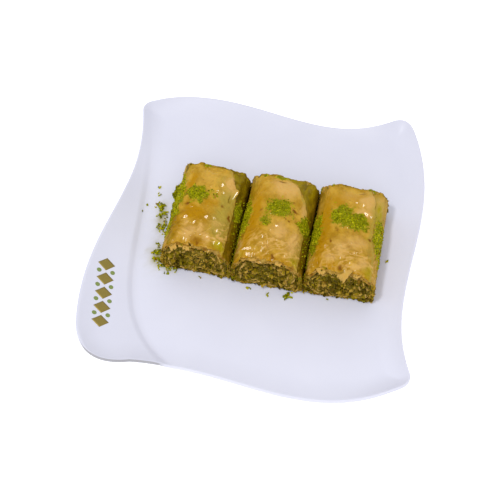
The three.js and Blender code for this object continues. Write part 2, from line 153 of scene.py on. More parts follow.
def gathered(name, parts):
    """One piece from many parts: each has points, faces and, on a carrier of nuts, how thick they lie."""
    points, faces, cover = [], [], []
    for part_points, part_faces, *part_cover in parts:
        faces.append(part_faces + sum(map(len, points)))
        points.append(part_points.reshape(-1, 3))
        cover.extend(amount.ravel() for amount in part_cover)
    values = {"cover": np.concatenate(cover)} if cover else None
    return new_piece(name, np.concatenate(points), np.concatenate(faces), values)


def plain_copy(piece, name):
    """The piece as its modifiers leave it, as an object of its own without modifiers."""
    evaluated = piece.evaluated_get(bpy.context.evaluated_depsgraph_get())
    copy = bpy.data.objects.new(name, bpy.data.meshes.new_from_object(evaluated))
    bpy.context.scene.collection.objects.link(copy)
    return copy


# %% [markdown]
# ## The plate's outline and crease
# The plate is moulded porcelain with no straight side. Each side is one S-shaped Bezier curve between two
# corners, and each corner is rounded by cutting it short and bending a small curve across it. One more
# curve is the crease along which the wing folds up.

# %% Outline of the plate
CORNERS = (
    dict(at=(-88.45, -91.45), round=26.9, leave=(58.2, 34.9), arrive=(-67.3, -37.8), lift=2.0),
    dict(at=(88.55, -83.1), round=6.3, leave=(-23.0, 58.2), arrive=(31.4, -63.5), lift=4.5),
    dict(at=(83.15, 88.5), round=9.4, leave=(-54.6, -31.8), arrive=(55.6, 31.9), lift=3.5),
    dict(at=(-73.5, 85.95), round=5.1, leave=(10.8, -69.7), arrive=(-21.1, 82.8), lift=4.0),
)
CREASE_FRONT = 0.233  # where the crease meets the front side, as a share of its length
CREASE_BACK = 0.03  # and the back side, from the wing's corner
CREASE_HANDLES = ((-87.0, -43.0), (-57.4, -2.9))
SIDE_STEPS, SIDE_POINTS, CREASE_STEPS, CREASE_POINTS = 300, 100, 200, 91
ROUND_STEPS = 40  # of a whole rounded corner, which is shared by two sides


def bezier(handles, steps):
    """Points of a quadratic or cubic curve, from three or four handles."""
    t = np.linspace(0.0, 1.0, steps + 1)[:, None]
    points = [np.array(h, float) for h in handles]
    while len(points) > 1:
        points = [lerp(a, b, t) for a, b in zip(points, points[1:])]
    return points[0]


def walk(line, shares):
    """Points at these shares of a line's length."""
    run = np.concatenate([[0.0], np.cumsum(np.hypot(*np.diff(line, axis=0).T))])
    along = np.asarray(shares) * run[-1]
    return np.stack([np.interp(along, run, line[:, k]) for k in range(line.shape[1])], axis=-1)


def length_of(line):
    return np.hypot(*np.diff(line, axis=0).T).sum()


def outline_sides():
    """The four sides, each from the middle of one rounded corner to the middle of the next."""
    ends = [np.array(corner["at"]) for corner in CORNERS]
    curves = []
    for k, corner in enumerate(CORNERS):
        after = ends[(k + 1) % 4]
        handles = [ends[k], ends[k] + corner["leave"], after + corner["arrive"], after]
        curves.append(bezier(handles, SIDE_STEPS))
    rounds = []
    for k, corner in enumerate(CORNERS):
        before = walk(curves[k - 1], 1.0 - corner["round"] / length_of(curves[k - 1]))
        beyond = walk(curves[k], corner["round"] / length_of(curves[k]))
        rounds.append(bezier([before, ends[k], beyond], ROUND_STEPS))
    half = ROUND_STEPS // 2
    sides = []
    for k, curve in enumerate(curves):
        following = (k + 1) % 4
        end = length_of(curve) - CORNERS[following]["round"]
        inner = np.linspace(CORNERS[k]["round"], end, SIDE_POINTS) / length_of(curve)
        sides.append(np.concatenate([rounds[k][half:-1], walk(curve, inner), rounds[following][1:half + 1]]))
    return sides


FRONT, RIGHT, back_to_left, left_to_front = outline_sides()
BACK = back_to_left[::-1]
LEFT = left_to_front[::-1]
OUTLINE = np.concatenate([FRONT[:-1], RIGHT[:-1], back_to_left[:-1], left_to_front])
CREASE = walk(
    bezier([walk(FRONT, CREASE_FRONT), *CREASE_HANDLES, walk(BACK, CREASE_BACK)], CREASE_STEPS),
    np.linspace(0.0, 1.0, CREASE_POINTS),
)
print("outline spans", (OUTLINE.max(axis=0) - OUTLINE.min(axis=0)).round(1), "mm")

# %% [markdown]
# ## The plate's height
# The upper face is flat under the food. A band along the rim lifts gently, most at the corners. The wing
# rises in a straight slope from the crease, and a small step along the crease fades out towards the back.
# Glaze fills every inner corner, so on the real plate the fold and the step are rounded over some
# millimetres. All of this depends only on two distances, to the rim and to the crease, so one rule gives
# every height.

# %% Height of the plate's upper face
FLOOR = 4.5
WALL = 3.0
RIM_LIFT, RIM_WIDTH, CORNER_REACH = 1.8, 13.0, 28.0
STEP_HEIGHT, STEP_WIDTH = 1.3, 4.8
STEP_LEAD = 0.3  # the share of the step's width that lies on the floor's side of the crease
STEP_FADE = (20.0, 80.0)  # between these places, front to back, the step runs out
WING_SLOPE, CREASE_SOFT = math.tan(math.radians(20.0)), 3.0
BACK_SLOPE = 0.5  # how steep the wing is at the back, as a share of its slope in front


def signed_distance(points, line):
    """Distance to a line of points, positive on its left."""
    best = np.full(len(points), np.inf)
    for a, b in zip(line, line[1:]):
        along = b - a
        away = points - a
        share = np.clip(away @ along / (along @ along), 0.0, 1.0)
        reach = np.hypot(*(away - share[:, None] * along).T)
        side = np.where(along[0] * away[:, 1] - along[1] * away[:, 0] < 0.0, -1.0, 1.0)
        best = np.where(reach < np.abs(best), reach * side, best)
    return best


def plate_height(points):
    flat = np.asarray(points, float).reshape(-1, 2)
    to_rim = np.abs(signed_distance(flat, OUTLINE))
    lift = np.full(len(flat), RIM_LIFT)
    for corner in CORNERS:
        away = np.hypot(*(flat - corner["at"]).T) / CORNER_REACH
        lift += corner["lift"] * np.exp(-(away**2))
    rim = lift * np.maximum(0.0, 1.0 - to_rim / RIM_WIDTH) ** 2
    on_wing = signed_distance(flat, CREASE)
    fade = 1.0 - smooth((flat[:, 1] - STEP_FADE[0]) / (STEP_FADE[1] - STEP_FADE[0]))
    step = STEP_HEIGHT * fade * smooth(on_wing / STEP_WIDTH + STEP_LEAD)
    fold = WING_SLOPE * (on_wing + np.hypot(on_wing, CREASE_SOFT)) / 2.0
    return (FLOOR + rim + step + fold * lerp(BACK_SLOPE, 1.0, fade)).reshape(np.shape(points)[:-1])


print("height in the middle and on the wing:", plate_height(np.array([[0.0, 0.0], [-82.0, -42.0]])).round(1))

# %% [markdown]
# ## The plate as one shell
# The face is two four-sided patches that share the crease, so the fold falls exactly on a row of points.
# Each patch is blended from its four edges, and its rows crowd together where the form turns quickly.
# The rim is rounded like fired glaze: rings of points run round half an ellipse from the upper face to the
# underside. The foot ring is a shape of its own, joined on with a Boolean.

# %% Build the plate
WING_COLUMNS, FLOOR_COLUMNS, PLATE_ROWS, EDGE_POINTS = 34, 100, 132, 241
ROW_CROWDING, WING_CROWDING, FLOOR_CROWDING = 0.55, 1.8, 0.6  # how rows crowd at the rim and the crease
RIM_RINGS, RIM_BULGE = 9, 0.9
FOOT_HEIGHT, FOOT_HALF, FOOT_WIDTH, FOOT_POWER, FOOT_ROUND = 1.5, (54.0, 52.0), 4.0, 4.0, 0.5
FOOT_POINTS = 180


def patch(front, back, left, right, across, deep):
    """A grid of points blended from four edges, which meet at their ends."""
    u, v = across[None, :, None], deep[:, None, None]
    low, high = walk(front, across)[None], walk(back, across)[None]
    near, far = walk(left, deep)[:, None], walk(right, deep)[:, None]
    edges = lerp(low, high, v) + lerp(near, far, u)
    return edges - lerp(lerp(front[0], front[-1], u), lerp(back[0], back[-1], u), v)


def plate_plan():
    part = np.linspace(0.0, 1.0, EDGE_POINTS)
    even = np.linspace(0.0, 1.0, PLATE_ROWS + 1)
    deep = lerp(even, (1.0 - np.cos(math.pi * even)) / 2.0, ROW_CROWDING)
    wing_across = 1.0 - np.linspace(1.0, 0.0, WING_COLUMNS + 1) ** WING_CROWDING
    even = np.linspace(0.0, 1.0, FLOOR_COLUMNS + 1)
    floor_across = lerp(even, np.sin(0.5 * math.pi * even), FLOOR_CROWDING)
    wing_front, wing_back = walk(FRONT, part * CREASE_FRONT), walk(BACK, part * CREASE_BACK)
    floor_front = walk(FRONT, lerp(CREASE_FRONT, 1.0, part))
    floor_back = walk(BACK, lerp(CREASE_BACK, 1.0, part))
    wing = patch(wing_front, wing_back, LEFT, CREASE, wing_across, deep)
    rest = patch(floor_front, floor_back, CREASE, RIGHT, floor_across, deep)
    return np.concatenate([wing, rest[:, 1:]], axis=1)


def plate_shell():
    plan = plate_plan()
    upper = np.dstack([plan, plate_height(plan)])
    loop = upper.reshape(-1, 3)[border(*plan.shape[:2])]
    ahead = np.roll(loop, -1, axis=0)[:, :2] - np.roll(loop, 1, axis=0)[:, :2]
    ahead /= np.hypot(*ahead.T)[:, None]
    outwards = np.stack([ahead[:, 1], -ahead[:, 0]], axis=-1)
    rim = []
    for turn in np.linspace(0.0, math.pi, RIM_RINGS + 2)[1:-1]:
        out = RIM_BULGE * math.sin(turn) * outwards
        drop = WALL / 2.0 * (1.0 - math.cos(turn))
        rim.append(np.column_stack([loop[:, :2] + out, loop[:, 2] - drop]))
    return slab(upper, upper - [0.0, 0.0, WALL], rim)


def squircle(angle, half_width, half_height, power):
    """A point on a curve between an ellipse (power 2) and a rectangle."""
    c, s = np.cos(angle), np.sin(angle)
    across = half_width * np.sign(c) * np.abs(c) ** (2.0 / power)
    return across, half_height * np.sign(s) * np.abs(s) ** (2.0 / power)


def foot_ring():
    angle = np.linspace(0.0, 2.0 * math.pi, FOOT_POINTS, endpoint=False)
    inner = FOOT_WIDTH - FOOT_ROUND
    top = FOOT_HEIGHT + WALL / 2.0
    profile = [(0.0, top), (0.0, FOOT_ROUND), (FOOT_ROUND / 3.0, FOOT_ROUND / 3.0), (FOOT_ROUND, 0.0)]
    profile += [(inner, 0.0), (FOOT_WIDTH - FOOT_ROUND / 3.0, FOOT_ROUND / 3.0), (FOOT_WIDTH, FOOT_ROUND)]
    profile += [(FOOT_WIDTH, top)]
    rings = []
    for inset, height in profile:
        x, y = squircle(angle, FOOT_HALF[0] - inset, FOOT_HALF[1] - inset, FOOT_POWER)
        rings.append(np.column_stack([x, y, np.full(len(angle), height)]))
    faces = grid_faces(len(profile), len(angle), rows_meet=True, columns_meet=True)
    return np.concatenate(rings), faces[:, ::-1]


shell = new_piece("plate shell", *plate_shell())
foot = new_piece("foot ring", *foot_ring())
joined = shell.modifiers.new("join", "BOOLEAN")
joined.operation = "UNION"
joined.solver = "EXACT"
joined.object = foot
plate = plain_copy(shell, "wavy_plate")
for part in (shell, foot):
    bpy.data.objects.remove(part)
print("plate:", len(plate.data.polygons), "faces after the join")

# %% [markdown]
# ## Three rolls, each its own
# A baker's rolls are cut from one log, but no two come out alike. The section is nearly square below the
# waist, where the rolls were pressed together, and a dome above. The last sheet of filo ends on top as a
# tongue: its free edge runs along the right shoulder, bends over the crown at the back and comes forward
# again on the left. For each roll the lists name what is seen on its crown, as places across and along it in
# its own frame: the tongue's edges, where the filling shows through as dark moss, where syrup pooled amber or
# lime, where the pastry dried pale, turned khaki or browned, and where a fold or a bead of syrup catches the
# light. The pale and khaki spots also carry painted sheen, broad soft highlights laid into the colour. Nuts
# lie in a patch on each crown, down the flanks and in dots along the back edge. They are placed
# by degrees round the section, since most lie on the steep sides.

# %% The rolls and what lies on them
ROLL_BASE = FLOOR + 0.35
# An edge is a row of places (across, along). A spot of a finish is (across, along, half its width, half its
# length, strength). Nuts are (degrees round, along, half width, half length, turn, how thick). A gleam is
# (across, along, half width, half length, turn). Pairs are for the left and the right flank: `press` is how
# far it bulges, and the other pair how dark its lower part is painted, partly syrup and partly painted shade
# of the gap beside it. `olive` is how green the flanks are.
ROLLS = (
    dict(
        name="1", at=(-28.9, 6.3), turn=-8.8, width=39.2, length=54.8, height=27.6, phase=0.4, seed=10,
        right_edge=((0, 27.6), (7, 26), (10.6, 20.8), (13.6, 14), (14.9, 8.5), (15.3, 2), (15.3, -8),
                    (15.6, -28)),
        left_edge=((-2, 27.6), (-9, 26), (-13, 21), (-15, 12), (-15.6, -28)),
        press=(0.0, 0.6), soaked_and_shaded=(0.35, 1.0), olive=0.95,
        moss=((-16, 25, 3.6, 5, 0.7), (-18, 14, 2.5, 8, 0.5), (3, 28, 12, 1.2, 0.5), (13, 24, 3, 4, 0.4),
              (-15.5, -17, 4.6, 12, 0.62)),
        nuts=((104, 6.0, 6.2, 5.4, 0, 1.0), (88, 7.3, 4.8, 1.7, 20, 0.35), (146, 3.4, 5.2, 14.5, 0, 0.95),
              (30, 3.4, 3.2, 8.0, 0, 0.95), (14, -8, 5.0, 20.0, 0, 0.12), (172, -12, 5.0, 14.0, 0, 0.45),
              (153, -13, 3.4, 8.0, 0, 0.7), (97, 26.6, 1.5, 1.2, 0, 0.9)),
        amber=((-5, -6, 6.5, 5.0, 0.95), (-11, 14, 2.8, 4.5, 0.9), (0.8, -24, 4.2, 2.8, 1.0),
               (-14.8, -16, 4.4, 12, 1.0), (2, 1, 4, 3, 0.5)),
        pale_and_sheen=((-5, -19, 4.0, 4.5, 0.75), (1, -17, 3, 4, 0.7), (5, -21, 1.8, 3.5, 0.8), (-2, 17, 6, 5, 0.2),
              (-8.5, -13, 2.0, 2.5, 0.5), (10.5, 16.5, 4.0, 5.5, 0.9), (8, -11, 3.5, 3.0, 0.4)),
        khaki_and_sheen=((11.0, 6, 5.0, 11, 0.9), (10.5, -10, 5.6, 11, 0.95), (6, 17, 3, 5, 0.4)),
        lime=((13, -23.5, 4.5, 3.2, 0.95), (-15, -24, 3, 3, 0.5)),
        toast_and_shade=((-10, -1, 1.4, 1.0, 0.8), (9.5, 0.8, 0.9, 0.8, 0.6), (14, -4.5, 0.8, 1.2, 0.7),
               (-11, -11, 1.0, 1.0, 0.5), (3.5, 6, 0.9, 0.8, 0.5), (1.5, -25, 1.6, 1.2, 0.6),
               (0.4, -23.4, 3.6, 2.4, 0.42)),
        gleams=((-9.1, -10.6, 1.0, 1.2, 0), (-3.4, -12.8, 1.2, 1.0, 20), (2.3, -8.8, 1.2, 1.2, 0),
                (6.4, -8.4, 1.1, 1.0, 0), (10.8, -23.2, 1.7, 1.3, 0), (9.0, -15.6, 1.2, 1.2, 0),
                (4.8, 9.4, 1.3, 1.2, 0), (5.8, 13.6, 1.1, 1.2, 0), (7.4, 9.4, 0.9, 0.8, 0),
                (13.0, 9.2, 0.9, 3.0, -10), (-6.1, -24.6, 1.7, 1.2, 0), (5.2, -21.0, 0.9, 0.8, 25)),
    ),
    dict(
        name="2", at=(10.85, 0.6), turn=-7.6, width=38.8, length=56.5, height=28.2, phase=2.1, seed=20,
        right_edge=((-1, 27.8), (6, 23.5), (10.3, 18.5), (14, 13), (15.6, 7.5), (16.2, 0), (16.2, -28)),
        left_edge=((-6, 27.8), (-12, 24), (-15.2, 16), (-15.8, -28)),
        press=(0.6, 0.65), soaked_and_shaded=(1.0, 1.0), olive=0.85,
        moss=((-17, 25, 2.4, 5, 0.5), (8, 28.5, 10, 1.0, 0.5)),
        nuts=((89.5, 6.2, 7.6, 5.9, 8, 0.74), (101, -3.0, 3.6, 3.6, 0, 0.7), (40, -0.8, 5.0, 5.4, -20, 1.0),
              (149, 0.8, 4.6, 11.8, 0, 0.95), (22, -8.0, 4.0, 14.0, 0, 0.2), (172, -10, 5.0, 18.0, 0, 0.4),
              (111, 27.4, 1.4, 1.2, 0, 0.9), (92, 26.6, 1.7, 1.1, 0, 0.7)),
        amber=((-12, 0, 3.4, 19, 0.78), (2.5, -26, 2.5, 1.6, 0.9), (7, -26.5, 2.0, 1.4, 0.8),
               (-14, -15, 2.8, 10, 0.9), (0, 19, 7, 4, 0.2), (-8, -8, 4, 6, 0.5)),
        pale_and_sheen=((3, -9, 4.5, 5.5, 0.75), (13.5, 8, 2.5, 4, 0.6), (2, 19, 8, 6, 0.8), (-2, -19, 4, 3, 0.4),
              (11.5, -14, 3.6, 8, 0.8)),
        khaki_and_sheen=((13, -17, 3.4, 8, 0.5), (14.5, -4, 2, 5, 0.3), (14, 14, 1.6, 4, 0.5)),
        lime=((14, -25, 3, 3, 0.6), (-15, -25, 3, 2.5, 0.5), (13.5, -12, 2, 9, 0.15)),
        toast_and_shade=((9.3, 5.5, 1.3, 1.0, 0.9), (7.6, -1.8, 0.9, 0.8, 0.8), (-9, 3, 1.2, 1.0, 0.5),
               (-1, 23, 1.6, 0.8, 0.7), (4.6, -1, 0.9, 0.8, 0.7), (4, 2, 0.9, 0.6, 0.5),
               (7.4, 10, 1.0, 0.8, 0.5), (3.0, -25.0, 1.2, 1.6, 0.7)),
        gleams=((-11.6, -23.2, 2.6, 1.5, 10), (-9.6, -26.2, 2.8, 1.5, -5), (-7.1, -22.8, 1.1, 1.0, 0),
                (-2.6, -17.4, 1.0, 2.6, 30), (-4.8, -14.8, 1.0, 1.4, 20), (0.9, -6.0, 1.1, 0.9, 0),
                (-3.4, -22.2, 1.6, 1.2, 0), (3.1, -15.0, 1.0, 0.9, 0), (-1.2, -10.5, 0.8, 1.0, 30)),
    ),
    dict(
        name="3", at=(50.7, -3.4), turn=-6.2, width=38.9, length=56.6, height=27.8, phase=4.3, seed=30,
        right_edge=((6, 28), (10, 24), (12.5, 20), (13.5, 12), (13.5, 2), (13, -4), (16, -12), (16.4, -28)),
        left_edge=((-9, 27.8), (-13.5, 24), (-15.3, 15), (-15.8, -28)),
        press=(0.65, 0.0), soaked_and_shaded=(1.0, 0.3), olive=0.12,
        moss=((-16.5, 24, 2.8, 6, 0.6), (-12, 28, 5, 1.2, 0.4), (17.5, 26, 1.6, 4, 0.5),
              (-13, 0, 3, 20, 0.16)),
        nuts=((98, 7.0, 6.3, 6.7, 0, 1.0), (84, 4.0, 7.2, 5.2, 10, 1.0), (149, -4.0, 4.8, 12.5, 0, 0.95),
              (32, 0.5, 4.4, 11.5, 0, 0.95), (172, -6, 5.0, 18.0, 0, 0.4), (12, -4, 4.0, 14.0, 0, 0.45),
              (158, 27.4, 1.4, 1.2, 0, 0.8), (114, 27.8, 1.2, 1.2, 0, 0.8), (74, 27.6, 1.6, 1.2, 0, 0.9)),
        amber=((-13.2, -4, 3.8, 23, 1.0), (2, 19.5, 6, 2.8, 0.85), (-7, 17, 5, 5, 0.55),
               (-6, -25, 7, 1.5, 0.7), (15.5, 26, 3, 2, 0.8)),
        pale_and_sheen=((-7, -20, 3.5, 3, 0.75), (10, -21, 4, 3, 0.7), (-2, -13, 5, 5, 0.65), (7, 11, 4.5, 2.8, 1.0),
              (5, -9, 7, 5, 0.6), (15.5, 21, 4.5, 6.5, 0.6), (-1, 20, 7, 4, 0.35), (8.5, 19, 5, 6, 0.85)),
        khaki_and_sheen=((14, 16, 6.0, 10, 0.9), (13.5, -10, 2.5, 6, 0.5), (15, 2, 3, 10, 0.6)),
        lime=((14, -24, 3.5, 3.5, 0.65), (11.5, -4.6, 2.6, 1.6, 0.6), (15.6, 15, 3.2, 8, 0.9)),
        toast_and_shade=((-8, -9.5, 1.0, 1.0, 0.8), (-7, -2, 0.9, 0.9, 0.5), (12, -4.6, 1.4, 1.2, 0.8),
               (-12, -26.5, 1.6, 1.2, 0.9), (-1, -26, 1.2, 1.2, 0.7), (3, 24, 1.4, 0.8, 0.5)),
        gleams=((5.0, 15.0, 1.3, 1.2, 0), (2.0, 16.6, 0.8, 0.7, 0), (5.5, -16, 1.2, 0.8, 30),
                (-1.5, -20, 1.2, 0.8, -20), (-10.5, -13.5, 0.9, 1.1, 0), (3.4, -23.2, 1.3, 1.0, 0),
                (-5.7, -23.2, 1.1, 0.9, 0), (9.2, 9.6, 2.5, 1.0, -35), (-14.6, -24.0, 1.0, 1.4, 0)),
    ),
)
print("rolls:", [(roll["name"], roll["length"]) for roll in ROLLS])

# %% [markdown]
# ## A roll's section
# The section is worked out exactly as in the solid model, so the finished roll fills the same space. The
# crown drops a little at the front, where the knife pressed, and more at the back. Points go round the
# section at even distances rather than even angles, which keeps the mesh fine over the whole crown. The
# distance round the section from the middle of the crown, its girth, is the ruler for all that lies on it.

# %% Section, cut ends and girth
WAIST = 8.0
DOME_POWER, BACK_DOME_POWER, BASE_POWER = 2.6, 3.6, 7.0
BACK_DROP, BACK_REACH, FRONT_DROP, FRONT_REACH = 3.0, 10.0, 0.8, 4.0
PASTRY_CROWN, PASTRY_FLANK, CLEAR = 1.9, 1.3, 0.35
FRONT_LEAN = 1.6
ROUND_POINTS, ROWS_ALONG = 330, 168
FINE_POINTS, DENSE_POINTS = 2400, 6001  # round a section, where a place on it is looked up


def section(roll, angle, along, crown_inset, flank_inset):
    """Place across the roll and height above its base, moved in from the bare outer face."""
    at_back = smooth((along - roll["length"] / 2.0 + BACK_REACH) / BACK_REACH)
    at_front = smooth((FRONT_REACH - roll["length"] / 2.0 - along) / FRONT_REACH)
    crown = roll["height"] - BACK_DROP * at_back - FRONT_DROP * at_front
    upper = np.sin(angle) > 0.0
    half_height = np.where(upper, crown - WAIST - crown_inset, WAIST - flank_inset)
    power = np.where(upper, lerp(DOME_POWER, BACK_DOME_POWER, at_back), BASE_POWER)
    across, height = squircle(angle, roll["width"] / 2.0 - flank_inset, half_height, power)
    return across, height + WAIST


def end_place(roll, end, height):
    """Where a cut end lies along the roll: the front one leans back towards the crown."""
    lean = FRONT_LEAN * (height / roll["height"] - 0.5) if end < 0 else 0.0
    return end * roll["length"] / 2.0 + lean


def even_angles(roll, count):
    """Angles at even distances round the section, and the girth at each, positive on the right."""
    dense = np.linspace(-0.5 * math.pi, 1.5 * math.pi, DENSE_POINTS)
    line = np.stack(section(roll, dense, 0.0, 0.0, 0.0), axis=-1)
    run = np.concatenate([[0.0], np.cumsum(np.hypot(*np.diff(line, axis=0).T))])
    wanted = np.linspace(0.0, run[-1], count, endpoint=False)
    crown = np.interp(0.5 * math.pi, dense, run)
    return np.interp(wanted, run, dense), crown - wanted


def girth_across(roll, across):
    """Girth of the point of the crown that lies this far across the roll."""
    angle, girth = even_angles(roll, FINE_POINTS)
    x, height = section(roll, angle, 0.0, 0.0, 0.0)
    crown = height > WAIST
    order = np.argsort(x[crown])
    return np.interp(across, x[crown][order], girth[crown][order])


def girth_at(roll, degrees):
    """Girth at an angle round the section, from the right flank over the crown."""
    angle, girth = even_angles(roll, FINE_POINTS)
    return np.interp(math.radians(degrees), angle, girth)


def placed(roll, points):
    """Points of a roll's own frame, turned and moved to its place on the plate."""
    turn = math.radians(roll["turn"])
    x, y, z = points[..., 0], points[..., 1], points[..., 2]
    return np.stack([
        roll["at"][0] + x * math.cos(turn) - y * math.sin(turn),
        roll["at"][1] + x * math.sin(turn) + y * math.cos(turn),
        ROLL_BASE + z,
    ], axis=-1)


for roll in ROLLS:
    print("roll", roll["name"], "girth of the right shoulder:", round(float(girth_across(roll, 16.0)), 1))

# %% [markdown]
# ## Where things lie on the crown
# Pooled syrup and browned spots have soft, irregular edges. Each is an ellipse whose value falls off from 1
# in its middle, and the ruler itself is bent by smooth random shifts first, so no edge comes out round.

# %% Soft spots with uneven edges
# Of these, pale and khaki spots also carry painted sheen.
SPOT_KINDS = ("amber", "khaki_and_sheen", "pale_and_sheen", "lime", "moss", "toast_and_shade")
BEND, BEND_SIZE = 1.3, 5.0  # how far and over what length the ruler is bent
SPOT_FALL = 1.2  # above 1, a spot is flatter in its middle and steeper at its edge
NUTS_RAGGED, NUTS_RAGGED_SIZE = 0.3, 2.6
NUTS_CORE, NUTS_FRINGE = 0.65, 0.65  # nuts lie thick up to the first share of a patch, then thin out


def bent(roll, girth, along):
    """The ruler on the crown, bent by up to a millimetre or so."""
    shift = BEND * uneven(girth, along, BEND_SIZE, 3, roll["seed"] + 1)
    slide = BEND * uneven(girth, along, BEND_SIZE, 3, roll["seed"] + 5)
    return girth + shift, along + slide


def soft_spots(roll, kind, girth, along):
    """How much of one finish lies at each point, from the roll's list of spots."""
    u, v = bent(roll, girth, along)
    total = np.zeros(np.broadcast(u, v).shape)
    for across, place, half_across, half_along, strength in roll[kind]:
        du = (u - girth_across(roll, across)) / half_across
        dv = (v - place) / half_along
        total = np.maximum(total, strength * np.exp(-((du**2 + dv**2) ** SPOT_FALL)))
    return total


def nut_cover(roll, girth, along):
    """1 where ground nuts lie thick on the roll, thinning out raggedly round each patch."""
    u, v = bent(roll, girth, along)
    ragged = NUTS_RAGGED * uneven(girth, along, NUTS_RAGGED_SIZE, 3, roll["seed"] + 30)
    cover = np.zeros(np.broadcast(u, v).shape)
    for degrees, place, half_round, half_along, tilt, thick in roll["nuts"]:
        turn = math.radians(tilt)
        du, dv = u - girth_at(roll, degrees), v - place
        across = (du * math.cos(turn) - dv * math.sin(turn)) / half_round
        deep = (du * math.sin(turn) + dv * math.cos(turn)) / half_along
        reach = np.hypot(across, deep) + ragged
        cover = np.maximum(cover, thick * (1.0 - smooth((reach - NUTS_CORE) / NUTS_FRINGE)))
    return cover


print("nuts on roll 1:", [patch_of_nuts[0] for patch_of_nuts in ROLLS[0]["nuts"]], "degrees round")

# %% [markdown]
# ## The eye and the lamp
# The picture is taken from in front and well above, 61 degrees up and turned by 4, from 0.8 metres. The lamp
# hangs at the front left. Both places are settled here, before the pastry, because its small glossy folds are
# shaped to shine between them.

# %% Places of the eye and the lamp
ELEVATION, AZIMUTH = math.radians(61.0), math.radians(4.0)
AIM = Vector((-3.75, -3.08, 0.0))  # the point of the plate in the middle of the picture
CAMERA_DISTANCE, LAMP_DISTANCE = 800.0, 1200.0
TO_THE_LAMP = Vector((-0.244, -0.215, 0.946))

backwards = Vector((
    math.sin(AZIMUTH) * math.cos(ELEVATION),
    -math.cos(AZIMUTH) * math.cos(ELEVATION),
    math.sin(ELEVATION),
))
EYE_AT = AIM + CAMERA_DISTANCE * backwards
LAMP_AT = LAMP_DISTANCE * TO_THE_LAMP
print("eye at", tuple(round(c, 1) for c in EYE_AT), "lamp at", tuple(round(c, 1) for c in LAMP_AT))

# %% [markdown]
# ## The lay of the last sheet
# Baked filo is not smooth. It wrinkles where it was pressed, and air under it raises blisters. Such folds
# could be sculpted, but a rule for each kind gives every roll its own. Each rule takes a place on the roll,
# by its girth and its distance along, and gives a height, so they can simply be added up later.

# %% Edges, wrinkles and blisters
EDGE_RAGGED, EDGE_RAGGED_SIZE = 0.4, 3.0
FOLD, FOLD_WIDTH, FINE_FOLD, FINE_FOLD_WIDTH = 0.55, 3.4, 0.30, 1.9
BACK_CALM = 0.35  # how much of the folds is left at the back, as a share
BLISTERS, BLISTER_RADIUS, BLISTER_HEIGHT = 30, (0.9, 2.4), (0.15, 0.38)


def edge_line(roll, name, along):
    """Girth of one free edge of the last sheet at each place along the roll."""
    across, place = np.array(roll[name], float).T
    ragged = EDGE_RAGGED * uneven(along, 0.0 * along, EDGE_RAGGED_SIZE, 2, roll["seed"] + 9)
    return np.interp(along, place[::-1], girth_across(roll, across[::-1])) + ragged


def wrinkles(roll, girth, along):
    """Fine folds that cross the roll at a slant, thickest towards the front."""
    slant = math.radians(25.0 + 20.0 * math.sin(roll["phase"]))
    u = girth * math.cos(slant) + along * math.sin(slant)
    v = along * math.cos(slant) - girth * math.sin(slant)
    drift = 1.6 * swell(u, v, 9.0, roll["seed"] + 12)
    folds = (1.0 - np.abs(swell(u * 0.45 + drift, v + drift, FOLD_WIDTH, roll["seed"] + 13))) ** 5
    fine = (1.0 - np.abs(swell(u * 0.6, v + drift, FINE_FOLD_WIDTH, roll["seed"] + 14))) ** 6
    towards_front = lerp(BACK_CALM, 1.0, smooth((-4.0 - along) / 14.0))
    return towards_front * (FOLD * folds + FINE_FOLD * fine)


def blisters(roll, girth, along):
    """Low bubbles where air lifted the sheet."""
    random = np.random.default_rng(roll["seed"] + 20)
    total = np.zeros(np.broadcast(girth, along).shape)
    for _ in range(BLISTERS):
        middle, place = random.uniform(-15.0, 15.0), random.uniform(-26.0, 26.0)
        size, height = random.uniform(*BLISTER_RADIUS), random.uniform(*BLISTER_HEIGHT)
        away = ((girth - middle) ** 2 + ((along - place) * random.uniform(0.6, 1.2)) ** 2) / size**2
        total += height * np.exp(-away)
    return total


for roll in ROLLS:
    front_and_back = (round(float(edge_line(roll, "right_edge", along)), 1) for along in (-20.0, 20.0))
    print("roll", roll["name"], "girth of the tongue's edge, front and back:", *front_and_back)

# %% [markdown]
# ## Pressed flanks and shining folds
# In the pan each roll leans on its neighbour, so its flank bulges, most at the front. On the crown a gloss
# shows only where the surface faces half way between the lamp and the eye. A wrinkle made at random hardly
# ever does, so the folds and beads of syrup that shine are small flats turned exactly that way.

# %% Flanks and gleams
FLANK_FROM, FLANK_RISE = 18.0, 8.0  # girth at which a flank begins, and over which it is blended in
FLANK_ROUGH, BACK_PRESS = 0.12, 0.12  # roughness of a flank, and the share of its bulge left at the back


def pressed(roll, angle, girth, along):
    """Flanks that lay against a neighbour in the pan bulge towards it, most at the front."""
    side = np.where(girth > 0.0, roll["press"][1], roll["press"][0])
    off_base = 1.0 - smooth((-np.sin(angle) - 0.3) / 0.4)
    flank = smooth((np.abs(girth) - FLANK_FROM) / FLANK_RISE) * off_base
    rough = FLANK_ROUGH * uneven(girth, along, 5.0, 3, roll["seed"] + 16)
    return flank * (side * lerp(1.0, BACK_PRESS, smooth(along / roll["length"] + 0.5)) + rough)


